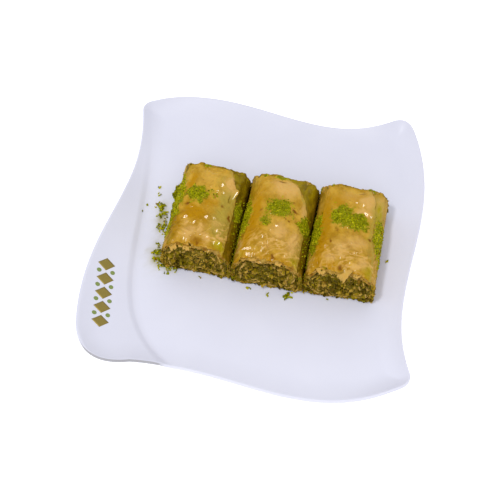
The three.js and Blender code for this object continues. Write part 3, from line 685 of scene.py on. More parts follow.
def add_gleams(roll, x, height, along, on_crown, relief):
    """Turns small flats of the crown so that they shine. Each keeps the height of its middle."""
    outwards_x, outwards_z = x / (roll["width"] / 2.0), (height - WAIST) / (roll["height"] - WAIST)
    for across, place, half_across, half_along, lean in roll["gleams"]:
        spot = Vector(placed(roll, np.array([across, place, roll["height"]])))
        half_way = (LAMP_AT - spot).normalized() + (EYE_AT - spot).normalized()
        facing = Matrix.Rotation(math.radians(-roll["turn"]), 3, "Z") @ half_way
        slope_x, slope_y = -facing.x / facing.z, -facing.y / facing.z
        tilt = math.radians(lean)
        dx, dy = x - across, along - place
        u = (dx * math.cos(tilt) + dy * math.sin(tilt)) / half_across
        v = (dy * math.cos(tilt) - dx * math.sin(tilt)) / half_along
        window = (1.0 - smooth(np.hypot(u, v) - 0.9)) * (on_crown > 0.0)
        middle = np.unravel_index(np.argmin(np.hypot(dx, dy) + 99.0 * (on_crown <= 0.0)), window.shape)
        needed = slope_x * dx + slope_y * dy - (height - height[middle])
        flat = relief[middle] + needed / np.maximum(outwards_z - slope_x * outwards_x, 0.3)
        relief = lerp(relief, flat, window)
    return relief


print("gleams on each roll:", [len(roll["gleams"]) for roll in ROLLS])

# %% [markdown]
# ## All of the relief together
# Syrup makes the pastry slump into shallow dents, and the whole skin is as finely crinkled as crepe paper.
# The tongue lies on top of all that with a thin edge and a groove beside it. Nuts lift the surface a little
# where they lie thick. The dents, folds and blisters belong to the crown and fade out down the flanks.

# %% Relief of the pastry
LIP, LIP_STEP = 0.65, 0.9
LEFT_LIP = 0.5  # how much lower the last sheet lies beyond its left edge, as a share
LIP_FADE = (-21.0, -27.0)  # girth over which the last sheet runs into the left flank
GROOVE, GROOVE_AWAY, GROOVE_WIDTH = 0.25, 0.7, 0.5  # just beyond the tongue's right edge
DENTS, DENT_SIZE = 0.5, 9.0
CREPE, CREPE_SIZE, CREPE_PATCH = 0.17, 2.0, 8.0  # height and size of the finest crinkles, size of patches
MOUND = 0.45  # how far nuts lift the surface where they lie thick
SETTLE = 0.45  # how far the crown sinks, so that folds and blisters stay within the roll's size


def pastry_relief(roll, angle, girth, along):
    """How far the pastry stands out from the bare section, in millimetres."""
    inside = edge_line(roll, "right_edge", along) - girth
    from_left = girth - edge_line(roll, "left_edge", along)
    faded = 1.0 - smooth((LIP_FADE[0] - girth) / (LIP_FADE[0] - LIP_FADE[1]))
    tongue = LIP * smooth(inside / LIP_STEP + 0.5) * faded
    tongue *= lerp(LEFT_LIP, 1.0, smooth(from_left / LIP_STEP + 0.5))
    groove = GROOVE * np.exp(-(((inside + GROOVE_AWAY) / GROOVE_WIDTH) ** 2))
    dents = DENTS * uneven(girth, along, DENT_SIZE, 4, roll["seed"])
    crepe = CREPE * uneven(girth, along, CREPE_SIZE, 2, roll["seed"] + 17)
    crepe *= 0.5 + smooth(0.5 + uneven(girth, along, CREPE_PATCH, 2, roll["seed"] + 18))
    mound = MOUND * nut_cover(roll, girth, along)
    on_crown = np.clip(np.sin(angle), 0.0, 1.0)
    fine = crepe + wrinkles(roll, girth, along) + blisters(roll, girth, along) - groove - SETTLE
    relief = tongue + mound * np.sqrt(on_crown) + on_crown * (dents + fine)
    x, height = section(roll, angle, along, 0.0, 0.0)
    relief = add_gleams(roll, x, height, along * np.ones_like(x), on_crown * np.ones_like(x), relief)
    return relief + pressed(roll, angle, girth, along)


print("the last sheet's edge is", LIP, "mm high, wrinkles up to", round(FOLD + FINE_FOLD, 2), "mm")

# %% [markdown]
# ## The wrap, sheet by sheet at its ends
# The wrap is a tube of many sheets. On the outside they read as one skin, but the knife opens them at both
# ends, where each sheet breaks off at its own length with a dark gap to the next. The mesh is one grid closed
# on itself both ways: each loop runs along the outside, down a staircase of sheet edges, back through the
# bore and up the other staircase. No face is left open and no wall is without thickness.

# %% Sheets and rings of the wraps
SHEETS = 5
SHEET_SHARE = 0.6  # of each sheet's room, the rest is the gap to the next
GAP_DEPTH = 1.1
CHIP_FRONT, CHIP_BACK = 1.3, 2.2  # how deep pieces have broken out of the sheets' edges
TEAR, TEAR_SIZE, TEAR_MOST = 0.6, 4.0, 0.8
INNER_LONGER = 0.12  # how much farther each sheet stands out than the one outside it
BORE_STEP = 0.2  # how far the bore begins behind the innermost sheet's edge


def torn(roll, end, sheet, girth):
    """How far a sheet's edge stands out beyond the cut, uneven round the section."""
    seed = roll["seed"] + 40 + 7 * sheet + (3 if end > 0 else 0)
    wave = TEAR * uneven(girth, girth * 0.0, TEAR_SIZE, 4, seed)
    chips = smooth(2.5 * swell(girth, girth * 0.0 + 3.0, 3.2, seed + 50) - 0.5)
    chip = CHIP_BACK if end > 0 else CHIP_FRONT
    return np.minimum(wave, TEAR_MOST) - chip * chips + INNER_LONGER * sheet


def ragged_cut(roll, end, angle):
    """The slow unevenness of the cut itself, as in the solid model."""
    phase = roll["phase"]
    return 0.45 * np.sin(7.0 * angle + 3.0 * phase + end) + 0.3 * np.sin(13.0 * angle + 5.0 * phase + end)


def sheet_edges(roll, end, angle, girth, outer_relief):
    """Rings of points that step in from the outer face to the bore, at one end."""
    place = end * roll["length"] / 2.0
    rings = []

    def ring(depth, stand_out):
        wave = swell(girth, girth * 0.0 + depth * 9.0, 3.0, roll["seed"] + 70)
        wobble = 0.06 * wave * math.sin(math.pi * depth)
        crown = lerp(-outer_relief, PASTRY_CROWN, depth + wobble)
        flank = lerp(-outer_relief, PASTRY_FLANK, depth + wobble)
        x, z = section(roll, angle, place, crown, flank)
        y = end_place(roll, end, z) + ragged_cut(roll, end, angle) + end * stand_out
        rings.append(np.stack([x, y, z], axis=-1))

    edges = [torn(roll, end, k, girth) for k in range(SHEETS)]
    for k, edge in enumerate(edges):
        outer, inner = k / SHEETS, (k + SHEET_SHARE) / SHEETS
        if k > 0:
            ring(outer, edge)
        ring(inner, edge)
        if k + 1 < SHEETS:
            deep = np.minimum(edge, edges[k + 1]) - GAP_DEPTH
            ring(inner, deep)
            ring((k + 1) / SHEETS, deep)
    ring(1.0, edges[-1] - BORE_STEP)
    return rings


def wrap_points(roll):
    angle, girth = even_angles(roll, ROUND_POINTS)
    a, g = angle[:, None], girth[:, None]
    share = np.linspace(0.0, 1.0, ROWS_ALONG + 1)[None, :]
    along = (share - 0.5) * roll["length"]
    relief = pastry_relief(roll, a, g, along)
    x, z = section(roll, a, along, -relief, -relief)
    front = end_place(roll, -1, z) + (ragged_cut(roll, -1, angle) - torn(roll, -1, 0, girth))[:, None]
    back = end_place(roll, 1, z) + (ragged_cut(roll, 1, angle) + torn(roll, 1, 0, girth))[:, None]
    outside = np.stack([x, lerp(front, back, share), z], axis=-1)
    back_rings = sheet_edges(roll, 1, angle, girth, relief[:, -1])
    front_rings = sheet_edges(roll, -1, angle, girth, relief[:, 0])
    ends = np.stack(back_rings + front_rings[::-1], axis=1)
    return np.concatenate([outside, ends], axis=1), g


print("points round and along one wrap:", wrap_points(ROLLS[0])[0].shape[:2])

# %% [markdown]
# ## What the oven, the syrup and the light left
# No two places of a wrap have the same colour. Cuts draw in syrup and turn amber, the flanks soak it up and
# the filling shines through green. Part of the colour is painted light: ridges are pale with painted sheen
# and hollows brown with painted shade, the lower flanks beside a neighbour are dark with painted shade of
# the gap, a brown line beside the tongue's edge is a painted shadow, and pale and khaki spots carry painted
# sheen. A painter would use masks for this. Here each finish is a number from 0 to 1 at every point, raised
# wherever a rule or a spot in the roll's lists asks for more, and the material reads these numbers later.

# %% Finishes of the wraps
FRONT_BAND, BACK_BAND = 4.5, 1.8  # how far along the wrap the cut ends drew in syrup


def at_least(values, kind, share):
    """Raises a finish to this share wherever it is lower."""
    values[kind] = np.maximum(values[kind], share)


def finish_ends(values, roll, along, patchy):
    """Syrup drawn in at the cuts: amber in front, dark at the back."""
    half = roll["length"] / 2.0
    front = smooth((FRONT_BAND - half - along) / 4.0) * lerp(0.2, 0.9, patchy)
    back = smooth((along - half + BACK_BAND) / 1.2) * smooth(1.6 * patchy - 0.2)
    at_least(values, "amber", 0.95 * front)
    at_least(values, "moss", 0.5 * back)


def finish_flanks(values, roll, girth, along, height, patchy):
    """Beyond the tongue's edges: green and wet, painted sheen on the thin edge, a painted shadow line at the
    seam, and dark low down, partly syrup and partly painted shade of the gap.
    """
    beyond = girth - edge_line(roll, "right_edge", along)
    left_of = edge_line(roll, "left_edge", along) - girth
    at_back = smooth((along - 2.0) / 18.0)
    shoulder = np.maximum(smooth(beyond), 0.25 * smooth(left_of / 1.5)) * smooth((height - 4.0) / 8.0)
    upper = smooth((height - 8.0) / 8.0)
    # a band just inside the tongue's edge: the thin last sheet, with painted sheen along it
    thin_edge_sheen = np.exp(-(((beyond + 1.3) / 1.2) ** 2)) * upper
    # painted shadow: a brown line just beyond the tongue's edge, where the lifted last sheet shades the flank
    seam_shadow = np.exp(-(((beyond - 0.4) / 0.4) ** 2)) * upper
    green = roll["olive"] * lerp(0.5, 0.85, patchy) * lerp(1.0, 0.75, at_back)
    at_least(values, "khaki_and_sheen", 0.6 * thin_edge_sheen)
    at_least(values, "amber", 0.6 * roll["olive"] * shoulder * (1.0 - patchy))
    at_least(values, "moss", green * shoulder)
    at_least(values, "lime", 0.6 * roll["olive"] * shoulder * at_back)
    at_least(values, "toast_and_shade", 0.5 * seam_shadow * patchy)
    # darker towards the base and most on flanks that face a neighbour: partly syrup, partly painted shade of
    # the gap
    soaked_and_shaded = np.where(girth > 0.0, roll["soaked_and_shaded"][1], roll["soaked_and_shaded"][0])
    soaked_and_shaded = soaked_and_shaded * lerp(1.0, 0.55, at_back) * lerp(0.7, 1.0, patchy)
    values["syrup"] = soaked_and_shaded * smooth((20.0 - height) / 13.0)


def finish_folds(values, roll, girth, along, height, patchy):
    """On the front of the crown, ridges pale, partly dried and partly painted sheen, and the hollows between
    them painted brown as shade.
    """
    crinkled = smooth((6.0 - along) / 18.0) * smooth((height - 14.0) / 6.0)
    ridges = smooth((wrinkles(roll, girth, along) - 0.26) / 0.25)
    # pale on the ridges of the folds: dried pastry and painted sheen
    at_least(values, "pale_and_sheen", 0.6 * ridges * crinkled * (1.0 - values["amber"]))
    # painted shade: brown in the hollows between the folds
    at_least(values, "toast_and_shade", 0.4 * smooth(0.5 - 3.0 * ridges) * patchy * crinkled)


def wrap_values(roll, loop, girth):
    """The finishes at each point of the wrap, as shares from 0 to 1."""
    half = roll["length"] / 2.0
    along, height = np.clip(loop[..., 1], -half, half), loop[..., 2]
    patchy = np.clip(0.5 + 0.8 * uneven(girth, along, 4.0, 4, roll["seed"] + 60), 0.0, 1.0)
    values = {kind: soft_spots(roll, kind, girth, along) for kind in SPOT_KINDS}
    for kind in ("moss", "lime"):
        values[kind] = values[kind] * lerp(0.35, 1.0, patchy)
    finish_ends(values, roll, along, patchy)
    finish_flanks(values, roll, girth, along, height, patchy)
    finish_folds(values, roll, girth, along, height, patchy)
    values["dust"] = nut_cover(roll, girth, along) ** 1.5
    crown = smooth((height - 12.0) / 8.0)
    in_the_cut = {
        "pale_and_sheen": 0.6 * patchy * crown,
        "toast_and_shade": 0.5 * (1.0 - patchy),
        "dust": 0.8 * patchy * (1.0 - 0.7 * crown),
    }
    outside = np.arange(loop.shape[1])[None, :] <= ROWS_ALONG
    return {kind: np.where(outside, share, in_the_cut.get(kind, 0.0)) for kind, share in values.items()}


print("finishes that have spots of their own:", ", ".join(SPOT_KINDS))

# %% [markdown]
# ## The wraps
# With the points and the finishes settled, a wrap is one closed grid turned into a mesh. The three rolls
# differ only in the numbers of their lists, so one function makes them all.

# %% Build the wraps
def build_wrap(roll):
    loop, girth = wrap_points(roll)
    faces = grid_faces(*loop.shape[:2], rows_meet=True, columns_meet=True)
    points = placed(roll, loop).reshape(-1, 3)
    return new_piece(f"filo_wrap_{roll['name']}", points, faces, wrap_values(roll, loop, girth))


wraps = [build_wrap(roll) for roll in ROLLS]

# %% [markdown]
# ## The filling
# Finely ground pistachio fills the roll from end to end and shows at both cuts as a rough, crumbly face.
# The core is a closed form of rings: they widen from the middle of the front face, run through the bore and
# narrow again at the back. Clumps and pits break up both faces, and thin turns of filo run round inside,
# carried as a value so that the material can colour them.

# %% Build the fillings
CORE_POINTS, FACE_RINGS = 168, 36
CORE_MIDDLE = 12.0
CLUMPS, CLUMP_SIZE = 1.2, 5.0
PITS, PIT_SIZE = 2.6, 4.2  # holes where lumps fell out of the cut face
HOLLOW = 2.4  # how far the filling lies back just under the crown
INNER_SHEETS = ((0.86, 0.026), (0.66, 0.020))  # turns of filo inside: share of the way out, half width
SHEET_STANDS = 0.8  # how far these turns stand out of the cut face


def core_ring(roll, end, share, angle):
    x, z = section(roll, angle, end * roll["length"] / 2.0, PASTRY_CROWN + CLEAR, PASTRY_FLANK + CLEAR)
    x, z = x * share, CORE_MIDDLE + (z - CORE_MIDDLE) * share
    seed = roll["seed"] + (80 if end < 0 else 85)
    under_crown = smooth((share - 0.72) / 0.2) * smooth((z / roll["height"] - 0.58) / 0.2)
    pit = smooth((uneven(x, z, PIT_SIZE, 2, seed + 3) - 0.3) / 0.25) * smooth((1.0 - share) / 0.2)
    bump = CLUMPS * uneven(x, z, CLUMP_SIZE, 4, seed) * smooth((1.0 - share) / 0.12)
    bump -= HOLLOW * under_crown + PITS * pit
    wander = share + 0.08 * swell(x, z, 6.0, seed + 7)
    sheet = sum(np.exp(-(((wander - middle) / half) ** 2)) for middle, half in INNER_SHEETS)
    sheet *= smooth(0.9 + 1.8 * swell(x, z, 4.0, seed + 9))
    y = end_place(roll, end, z) + end * (bump + SHEET_STANDS * sheet * (share < 0.95))
    return np.stack([x, y, z], axis=-1), sheet


def build_filling(roll):
    angle, _ = even_angles(roll, CORE_POINTS)
    shares = np.linspace(0.0, 1.0, FACE_RINGS + 1)[1:]
    cuts = [(-1, share) for share in shares] + [(1, share) for share in shares[::-1]]
    rings = [core_ring(roll, end, share, angle) for end, share in cuts]
    grid = np.stack([points for points, _ in rings], axis=1)
    sheet = np.stack([value for _, value in rings], axis=1)
    tips = [core_ring(roll, end, 0.0, np.array([0.0]))[0] for end in (-1, 1)]
    rows, columns = grid.shape[:2]
    faces = grid_faces(rows, columns, rows_meet=True).tolist()
    first = rows * columns
    for k in range(rows):
        following = (k + 1) % rows
        faces.append([first, k * columns, following * columns])
        faces.append([first + 1, following * columns + columns - 1, k * columns + columns - 1])
    points = np.concatenate([grid.reshape(-1, 3), *tips])
    values = {"sheet": np.concatenate([sheet.ravel(), [0.0, 0.0]])}
    return new_piece(f"pistachio_filling_{roll['name']}", placed(roll, points), faces, values)


fillings = [build_filling(roll) for roll in ROLLS]

# %% [markdown]
# ## Torn flakes at the cut
# Where the knife dragged, bits of the dry outer sheets broke and curled out over the cut. Each flake is a
# thin slab that follows a bend: it starts in the edge of the wrap and curls up as it comes out, with a ragged
# outline. They are joined to the wrap's mesh, because they are the same pastry.

# %% Curl the flakes out of the wraps
FLAKE_THICK, FLAKE_COLUMNS, FLAKE_ROWS = 0.22, 13, 11
FLAKE_LOOK = {"amber": 0.4, "pale_and_sheen": 0.45, "khaki_and_sheen": 0.3}
FLAKES = (
    # roll, degrees round the section, width, length, curl and turn in degrees, depth, how far in it starts
    (2, 88, 7.6, 8.6, -80, 24, -0.7, 3.0), (2, 118, 5.0, 4.4, -50, -25, -0.4, 2.2),
    (2, 70, 4.6, 4.0, -60, 15, -0.3, 2.2), (2, 132, 3.6, 3.2, 75, -10, 0.4, 1.4),
    (2, 100, 4.2, 3.0, -35, 5, 0.9, 1.6), (2, 52, 3.4, 2.6, 60, 20, 0.6, 1.2),
    (2, 80, 3.0, 2.6, 80, -20, 0.7, 1.2),
    (0, 98, 5.8, 4.6, -45, 12, 0.5, 1.8), (0, 126, 5.2, 4.4, -40, -20, 0.6, 1.6),
    (0, 74, 4.4, 3.0, -45, 15, 0.7, 1.6), (0, 86, 3.2, 2.6, 30, -5, 1.2, 1.2),
    (0, 142, 3.4, 2.8, 55, -15, 0.4, 1.4), (0, 110, 3.2, 2.4, -25, -8, 1.2, 1.2),
    (1, 108, 6.0, 3.4, 22, -8, 0.5, 1.8), (1, 100, 5.4, 3.2, -20, 6, 1.3, 1.6),
    (1, 76, 4.4, 3.0, -40, 15, 0.6, 1.6), (1, 126, 4.0, 3.2, 35, -20, 0.5, 1.6),
    (1, 88, 3.6, 2.6, 30, 0, 1.0, 1.2),
)


def flake(roll, degrees, width, length, curl, turn, depth, inside, seed):
    """A curled sheet that comes out of the front cut, in the roll's own frame."""
    angle = np.array([math.radians(degrees)])
    front = -roll["length"] / 2.0
    x, z = section(roll, angle, front, depth, depth)
    nearby = section(roll, angle - 0.02, front, depth, depth)
    sideways = np.array([nearby[0][0] - x[0], 0.0, nearby[1][0] - z[0]])
    sideways /= np.linalg.norm(sideways)
    out = np.array([0.0, -1.0, 0.0])
    up = np.cross(sideways, -out)
    spin = math.radians(turn)
    turned = sideways * math.cos(spin) + out * math.sin(spin)
    out = out * math.cos(spin) - sideways * math.sin(spin)
    sideways = turned
    u, v = np.meshgrid(np.linspace(-1.0, 1.0, FLAKE_COLUMNS), np.linspace(0.0, 1.0, FLAKE_ROWS))
    reach = length * (1.0 + 0.25 * uneven(u * 2.0, v * 0.0 + seed, 1.0, 3, seed))
    half = width / 2.0 * (1.0 - 0.35 * v) * (1.0 + 0.2 * uneven(v * 3.0, v * 0.0 + seed, 1.0, 2, seed + 3))
    bend = math.radians(curl)
    radius = reach / bend
    forward = radius * np.sin(bend * v) - inside
    rise = radius * (1.0 - np.cos(bend * v)) + 0.25 * u**2 + 0.12 * uneven(u * 2.0, v * 2.0, 1.0, 2, seed + 5)
    start = np.array([x[0], end_place(roll, -1, z[0]), z[0]])
    upper = start + (half * u)[..., None] * sideways + forward[..., None] * out + rise[..., None] * up
    thick = FLAKE_THICK * up
    return slab(upper[::-1], (upper - thick)[::-1])


def join_flakes(wrap, roll, number):
    """Adds a roll's flakes to its wrap, dry and pale or khaki as the outer sheets are."""
    parts = [flake(roll, *row[1:], seed=300 + k) for k, row in enumerate(FLAKES) if row[0] == number]
    mesh = wrap.data
    names = [layer.name for layer in mesh.attributes if layer.data_type == "FLOAT"]
    points = np.array([v.co for v in mesh.vertices]) / MM
    faces = [list(p.vertices) for p in mesh.polygons]
    values = {}
    for name in names:
        numbers = np.zeros(len(points), np.float32)
        mesh.attributes[name].data.foreach_get("value", numbers)
        values[name] = [numbers]
    stack = [points]
    for part_points, part_faces in parts:
        faces += (part_faces + sum(map(len, stack))).tolist()
        stack.append(placed(roll, part_points))
        for name in names:
            values[name].append(np.full(len(part_points), FLAKE_LOOK.get(name, 0.0)))
    joined_values = {name: np.concatenate(numbers) for name, numbers in values.items()}
    whole = new_piece(wrap.name + "_with_flakes", np.concatenate(stack), faces, joined_values)
    bpy.data.objects.remove(wrap)
    return whole


wraps = [join_flakes(wrap, roll, number) for number, (wrap, roll) in enumerate(zip(wraps, ROLLS))]

# %% [markdown]
# ## One tree that scatters ground nuts
# Ground pistachio lies on the crowns, in the gaps, in the cut faces and on the plate. It is always the same
# thing: small angular grains, strewn over a surface, thick in some places and thin in others. Geometry Nodes
# is made for that. The tree picks points on a surface, closer where the surface's `cover` value is high, puts
# a small icosahedron on each, turns and stretches it at random and roughens it. Each grain keeps a random
# `tone`, which the material turns into kernel green or skin brown.

# %% A helper that adds one node
def add_node(tree, kind, inputs=None, **settings):
    """Adds a node, sets its options, and fills its inputs with values or links."""
    node = tree.nodes.new(kind)
    for name, value in settings.items():
        setattr(node, name, value)
    for key, value in (inputs or {}).items():
        if isinstance(value, bpy.types.NodeSocket):
            tree.links.new(value, node.inputs[key])
        else:
            node.inputs[key].default_value = value
    return node


# %% The scattering tree
GRAIN_SPACING = 0.55  # least distance between two grains, as a share of their size
GRAIN_LEAST, GRAIN_MOST = (0.4, 0.4, 0.3), (1.8, 1.3, 0.9)  # how a grain is stretched three ways
GRAIN_FACES = 20  # of the icosahedron
CHIPS_PER_METRE = 1400.0  # fineness of the noise that roughens the grains
FULL_TURN = 6.283


def grain_tree():
    tree = bpy.data.node_groups.new("strew ground nuts", "GeometryNodeTree")
    sides = tree.interface
    sides.new_socket("Surface", in_out="INPUT", socket_type="NodeSocketGeometry")
    for name in ("Grains per square metre", "Grain size"):
        sides.new_socket(name, in_out="INPUT", socket_type="NodeSocketFloat")
    sides.new_socket("Seed", in_out="INPUT", socket_type="NodeSocketInt")
    sides.new_socket("Material", in_out="INPUT", socket_type="NodeSocketMaterial")
    sides.new_socket("Grains", in_out="OUTPUT", socket_type="NodeSocketGeometry")
    given = add_node(tree, "NodeGroupInput").outputs
    size = given["Grain size"]
    cover = add_node(tree, "GeometryNodeInputNamedAttribute", {"Name": "cover"}, data_type="FLOAT")
    spacing = add_node(tree, "ShaderNodeMath", {0: size, 1: GRAIN_SPACING}, operation="MULTIPLY").outputs[0]
    strewn = add_node(tree, "GeometryNodeDistributePointsOnFaces", {
        "Mesh": given["Surface"], "Distance Min": spacing, "Density Max": given["Grains per square metre"],
        "Density Factor": cover.outputs["Attribute"], "Seed": given["Seed"],
    }, distribute_method="POISSON")
    grain = add_node(tree, "GeometryNodeMeshIcoSphere", {"Radius": 0.5, "Subdivisions": 1})
    stretch = add_node(tree, "FunctionNodeRandomValue", {
        "Min": GRAIN_LEAST, "Max": GRAIN_MOST, "Seed": given["Seed"],
    }, data_type="FLOAT_VECTOR")
    sized = add_node(tree, "ShaderNodeVectorMath", {0: stretch.outputs[0], "Scale": size}, operation="SCALE")
    spin = add_node(tree, "FunctionNodeRandomValue", {
        "Min": (0.0, 0.0, 0.0), "Max": (FULL_TURN, FULL_TURN, FULL_TURN), "Seed": given["Seed"],
    }, data_type="FLOAT_VECTOR")
    placed_grains = add_node(tree, "GeometryNodeInstanceOnPoints", {
        "Points": strewn.outputs["Points"], "Instance": grain.outputs["Mesh"],
        "Rotation": spin.outputs[0], "Scale": sized.outputs[0],
    })
    tone = add_node(tree, "FunctionNodeRandomValue", {2: 0.0, 3: 1.0, "Seed": given["Seed"]},
                    data_type="FLOAT")
    toned = add_node(tree, "GeometryNodeStoreNamedAttribute", {
        "Geometry": placed_grains.outputs[0], "Name": "tone", "Value": tone.outputs[1],
    }, data_type="FLOAT", domain="INSTANCE")
    real = add_node(tree, "GeometryNodeRealizeInstances", {"Geometry": toned.outputs[0]})
    rough = add_node(tree, "ShaderNodeTexNoise", {"Scale": CHIPS_PER_METRE, "Detail": 0.0})
    centred = add_node(tree, "ShaderNodeVectorMath", {0: rough.outputs["Color"], 1: (0.5, 0.5, 0.5)},
                       operation="SUBTRACT")
    reach = add_node(tree, "ShaderNodeVectorMath", {0: centred.outputs[0], "Scale": size}, operation="SCALE")
    broken = add_node(tree, "GeometryNodeSetPosition", {
        "Geometry": real.outputs[0], "Offset": reach.outputs[0],
    })
    dressed = add_node(tree, "GeometryNodeSetMaterial", {
        "Geometry": broken.outputs[0], "Material": given["Material"],
    })
    add_node(tree, "NodeGroupOutput", {"Grains": dressed.outputs[0]})
    return tree


strew = grain_tree()
print("tree:", strew.name, len(strew.nodes), "nodes")


def scatter(name, carrier, grains, size, material, seed):
    """Strews grains over a carrier, at most this many on each square millimetre, and uses it up."""
    modifier = carrier.modifiers.new("strew", "NODES")
    modifier.node_group = strew
    settings = {"Grains per square metre": grains * 1e6, "Grain size": size * MM, "Seed": seed,
                "Material": material}
    for socket in strew.interface.items_tree:
        if socket.in_out == "INPUT" and socket.name in settings:
            modifier[socket.identifier] = settings[socket.name]
    scattered = plain_copy(carrier, name)
    bpy.data.objects.remove(carrier)
    print(f"{name}: {len(scattered.data.polygons) // GRAIN_FACES} grains")
    return scattered


# %% [markdown]
# ## Colours
# Colours are picked as sRGB hex values, the way a screen shows them, but the renderer adds up light, so one
# function turns them to linear. A finish is a start colour with others laid over it, each by the share that
# the mesh carries under a name, broken up by fine noise so that its edge follows the crumb of the pastry.

# %% Helpers for materials
def linear(hex_colour):
    """An sRGB hex colour as linear red, green, blue and alpha."""
    parts = [int(hex_colour[i:i + 2], 16) / 255.0 for i in (0, 2, 4)]
    return [*(p / 12.92 if p <= 0.04045 else ((p + 0.055) / 1.055) ** 2.4 for p in parts), 1.0]


def new_material(name):
    """An empty node material, its tree and the object's own coordinates."""
    material = bpy.data.materials.new(name)
    material.use_nodes = True
    tree = material.node_tree
    tree.nodes.clear()
    place = add_node(tree, "ShaderNodeTexCoord").outputs["Object"]
    return material, tree, place


def finish_material(tree, settings):
    """Adds the surface shader with its settings and connects it."""
    shader = add_node(tree, "ShaderNodeBsdfPrincipled", settings)
    add_node(tree, "ShaderNodeOutputMaterial", {"Surface": shader.outputs["BSDF"]})


def noise(tree, place, size, detail=2.0, roughness=0.5):
    """Smooth random values around a half, with hills of this size in millimetres."""
    settings = {"Vector": place, "Scale": 1.0 / (size * MM), "Detail": detail, "Roughness": roughness}
    return add_node(tree, "ShaderNodeTexNoise", settings).outputs["Fac"]


def carried(tree, name):
    """The value that the mesh carries under this name."""
    return add_node(tree, "ShaderNodeAttribute", attribute_name=name).outputs["Fac"]


def maths(tree, operation, *numbers, **settings):
    inputs = dict(enumerate(numbers))
    return add_node(tree, "ShaderNodeMath", inputs, operation=operation, **settings).outputs[0]


def rising(tree, value, low, high, most=1.0):
    """0 where the value is at or past `low`, and `most` where it is at or past `high`."""
    settings = {0: value, 1: low, 2: high, 3: 0.0, 4: most}
    return add_node(tree, "ShaderNodeMapRange", settings).outputs[0]


def mix(tree, share, start, end):
    """A colour between two others."""
    return add_node(tree, "ShaderNodeMix", {0: share, 6: start, 7: end}, data_type="RGBA").outputs[2]


def bumps(tree, height, strength, depth):
    """Small unevenness of a surface, its depth in millimetres."""
    settings = {"Height": height, "Strength": strength, "Distance": depth * MM}
    return add_node(tree, "ShaderNodeBump", settings).outputs["Normal"]


def lay_over(tree, colour, layers, grit):
    """Lays colours over one another, each by the share stored under its name, roughened by grit."""
    for name, hex_colour in layers:
        share = carried(tree, name)
        rough = maths(tree, "MULTIPLY_ADD", grit, 0.5, share)
        kept = maths(tree, "MULTIPLY", maths(tree, "SUBTRACT", rough, 0.25), share)
        factor = maths(tree, "ADD", kept, share, use_clamp=True)
        colour = mix(tree, factor, colour, linear(hex_colour))
    return colour


print("a middle grey on the screen is this share of white light:", round(linear("808080")[0], 3))

# %% [markdown]
# ## Glazed porcelain
# The plate is hard-paste porcelain, moulded, under a fired glaze: nearly white with a cool cast. Long use
# has left the glaze satin rather than mirror-bright, so it shows soft shading and no sharp reflections. A
# faint unevenness of the glaze, hills of about 12 mm, keeps that shading from looking machine-made. The foot
# ring is unglazed and matt. Along the wing's front edge the rounded rim is painted grey: painted shade,
# where the raised edge lies in its own shadow.

# %% Material of the plate
# Two of these layers are painted shade: the grey along the wing's front edge, and the dark pool where it
# shows in the gaps between the rolls.
PLATE_LAYERS = (("bare", "cfc9bd"), ("painted_edge_shade", "a3a2a9"), ("stain", "a9a16c"), ("pool_and_gap_shade", "4a3a08"))


def porcelain():
    material, tree, place = new_material("glazed white porcelain")
    cloud = noise(tree, place, 30.0)
    white = mix(tree, cloud, linear("d9daea"), linear("e0e1f0"))
    rough = maths(tree, "MULTIPLY_ADD", carried(tree, "bare"), 0.4, 0.42)
    ripple = noise(tree, place, 12.0, detail=1.0)
    finish_material(tree, {
        "Base Color": lay_over(tree, white, PLATE_LAYERS, cloud), "Roughness": rough, "IOR": 1.5,
        "Normal": bumps(tree, ripple, 0.15, 0.3),
    })
    return material


PORCELAIN = porcelain()
print(PORCELAIN.name, "has", len(PORCELAIN.node_tree.nodes), "nodes")

# %% [markdown]
# ## Syrup-soaked filo
# Filo is baked wheat pastry, thin as paper, brushed with butter and then soaked in sugar syrup. The bake
# gives tan to brown, the syrup makes it amber and half see-through, and where it set, it leaves a clear
# glossy coat. So the shader is a warm base with a little light passing under the surface and a clear coat on
# top. Clouds of about 6 mm turn the base from brown to gold, and a grain of 1.3 mm and less browns it in
# specks and roughens it.

# %% Material of the wraps
# Four of these layers also hold painted light: pale and khaki carry painted sheen, the dark syrup layer
# painted shade low in the gaps, and toast painted shade in the hollows and along the tongue's edge.
FILO_LAYERS = (
    ("amber", "b28204"),
    ("khaki_and_sheen", "ac9438"),
    ("pale_and_sheen", "d2a75a"),
    ("lime", "a8960a"),
    ("moss", "6f5a06"),
    ("syrup", "503a03"),
    ("dust", "84830a"),
    ("toast_and_shade", "7e500c"),
)


def soaked_filo():
    material, tree, place = new_material("syrup-soaked filo")
    grit = noise(tree, place, 1.3, detail=4.0, roughness=0.6)
    cloud = noise(tree, place, 6.0, detail=4.0, roughness=0.6)
    honey = mix(tree, rising(tree, cloud, 0.36, 0.64), linear("ab8118"), linear("cda23a"))
    specked = mix(tree, rising(tree, grit, 0.56, 0.72, 0.55), honey, linear("8c6414"))
    finish_material(tree, {
        "Base Color": lay_over(tree, specked, FILO_LAYERS, grit), "Roughness": 0.45, "IOR": 1.45,
        "Specular IOR Level": 0.0, "Normal": bumps(tree, grit, 0.4, 0.25),
        "Subsurface Weight": 0.12, "Subsurface Radius": (1.0, 0.55, 0.2), "Subsurface Scale": 1.0 * MM,
        "Coat Weight": 0.22, "Coat Roughness": 0.1, "Coat IOR": 1.47,
    })
    return material


FILO = soaked_filo()
print(FILO.name, "has", len(FILO.node_tree.nodes), "nodes")

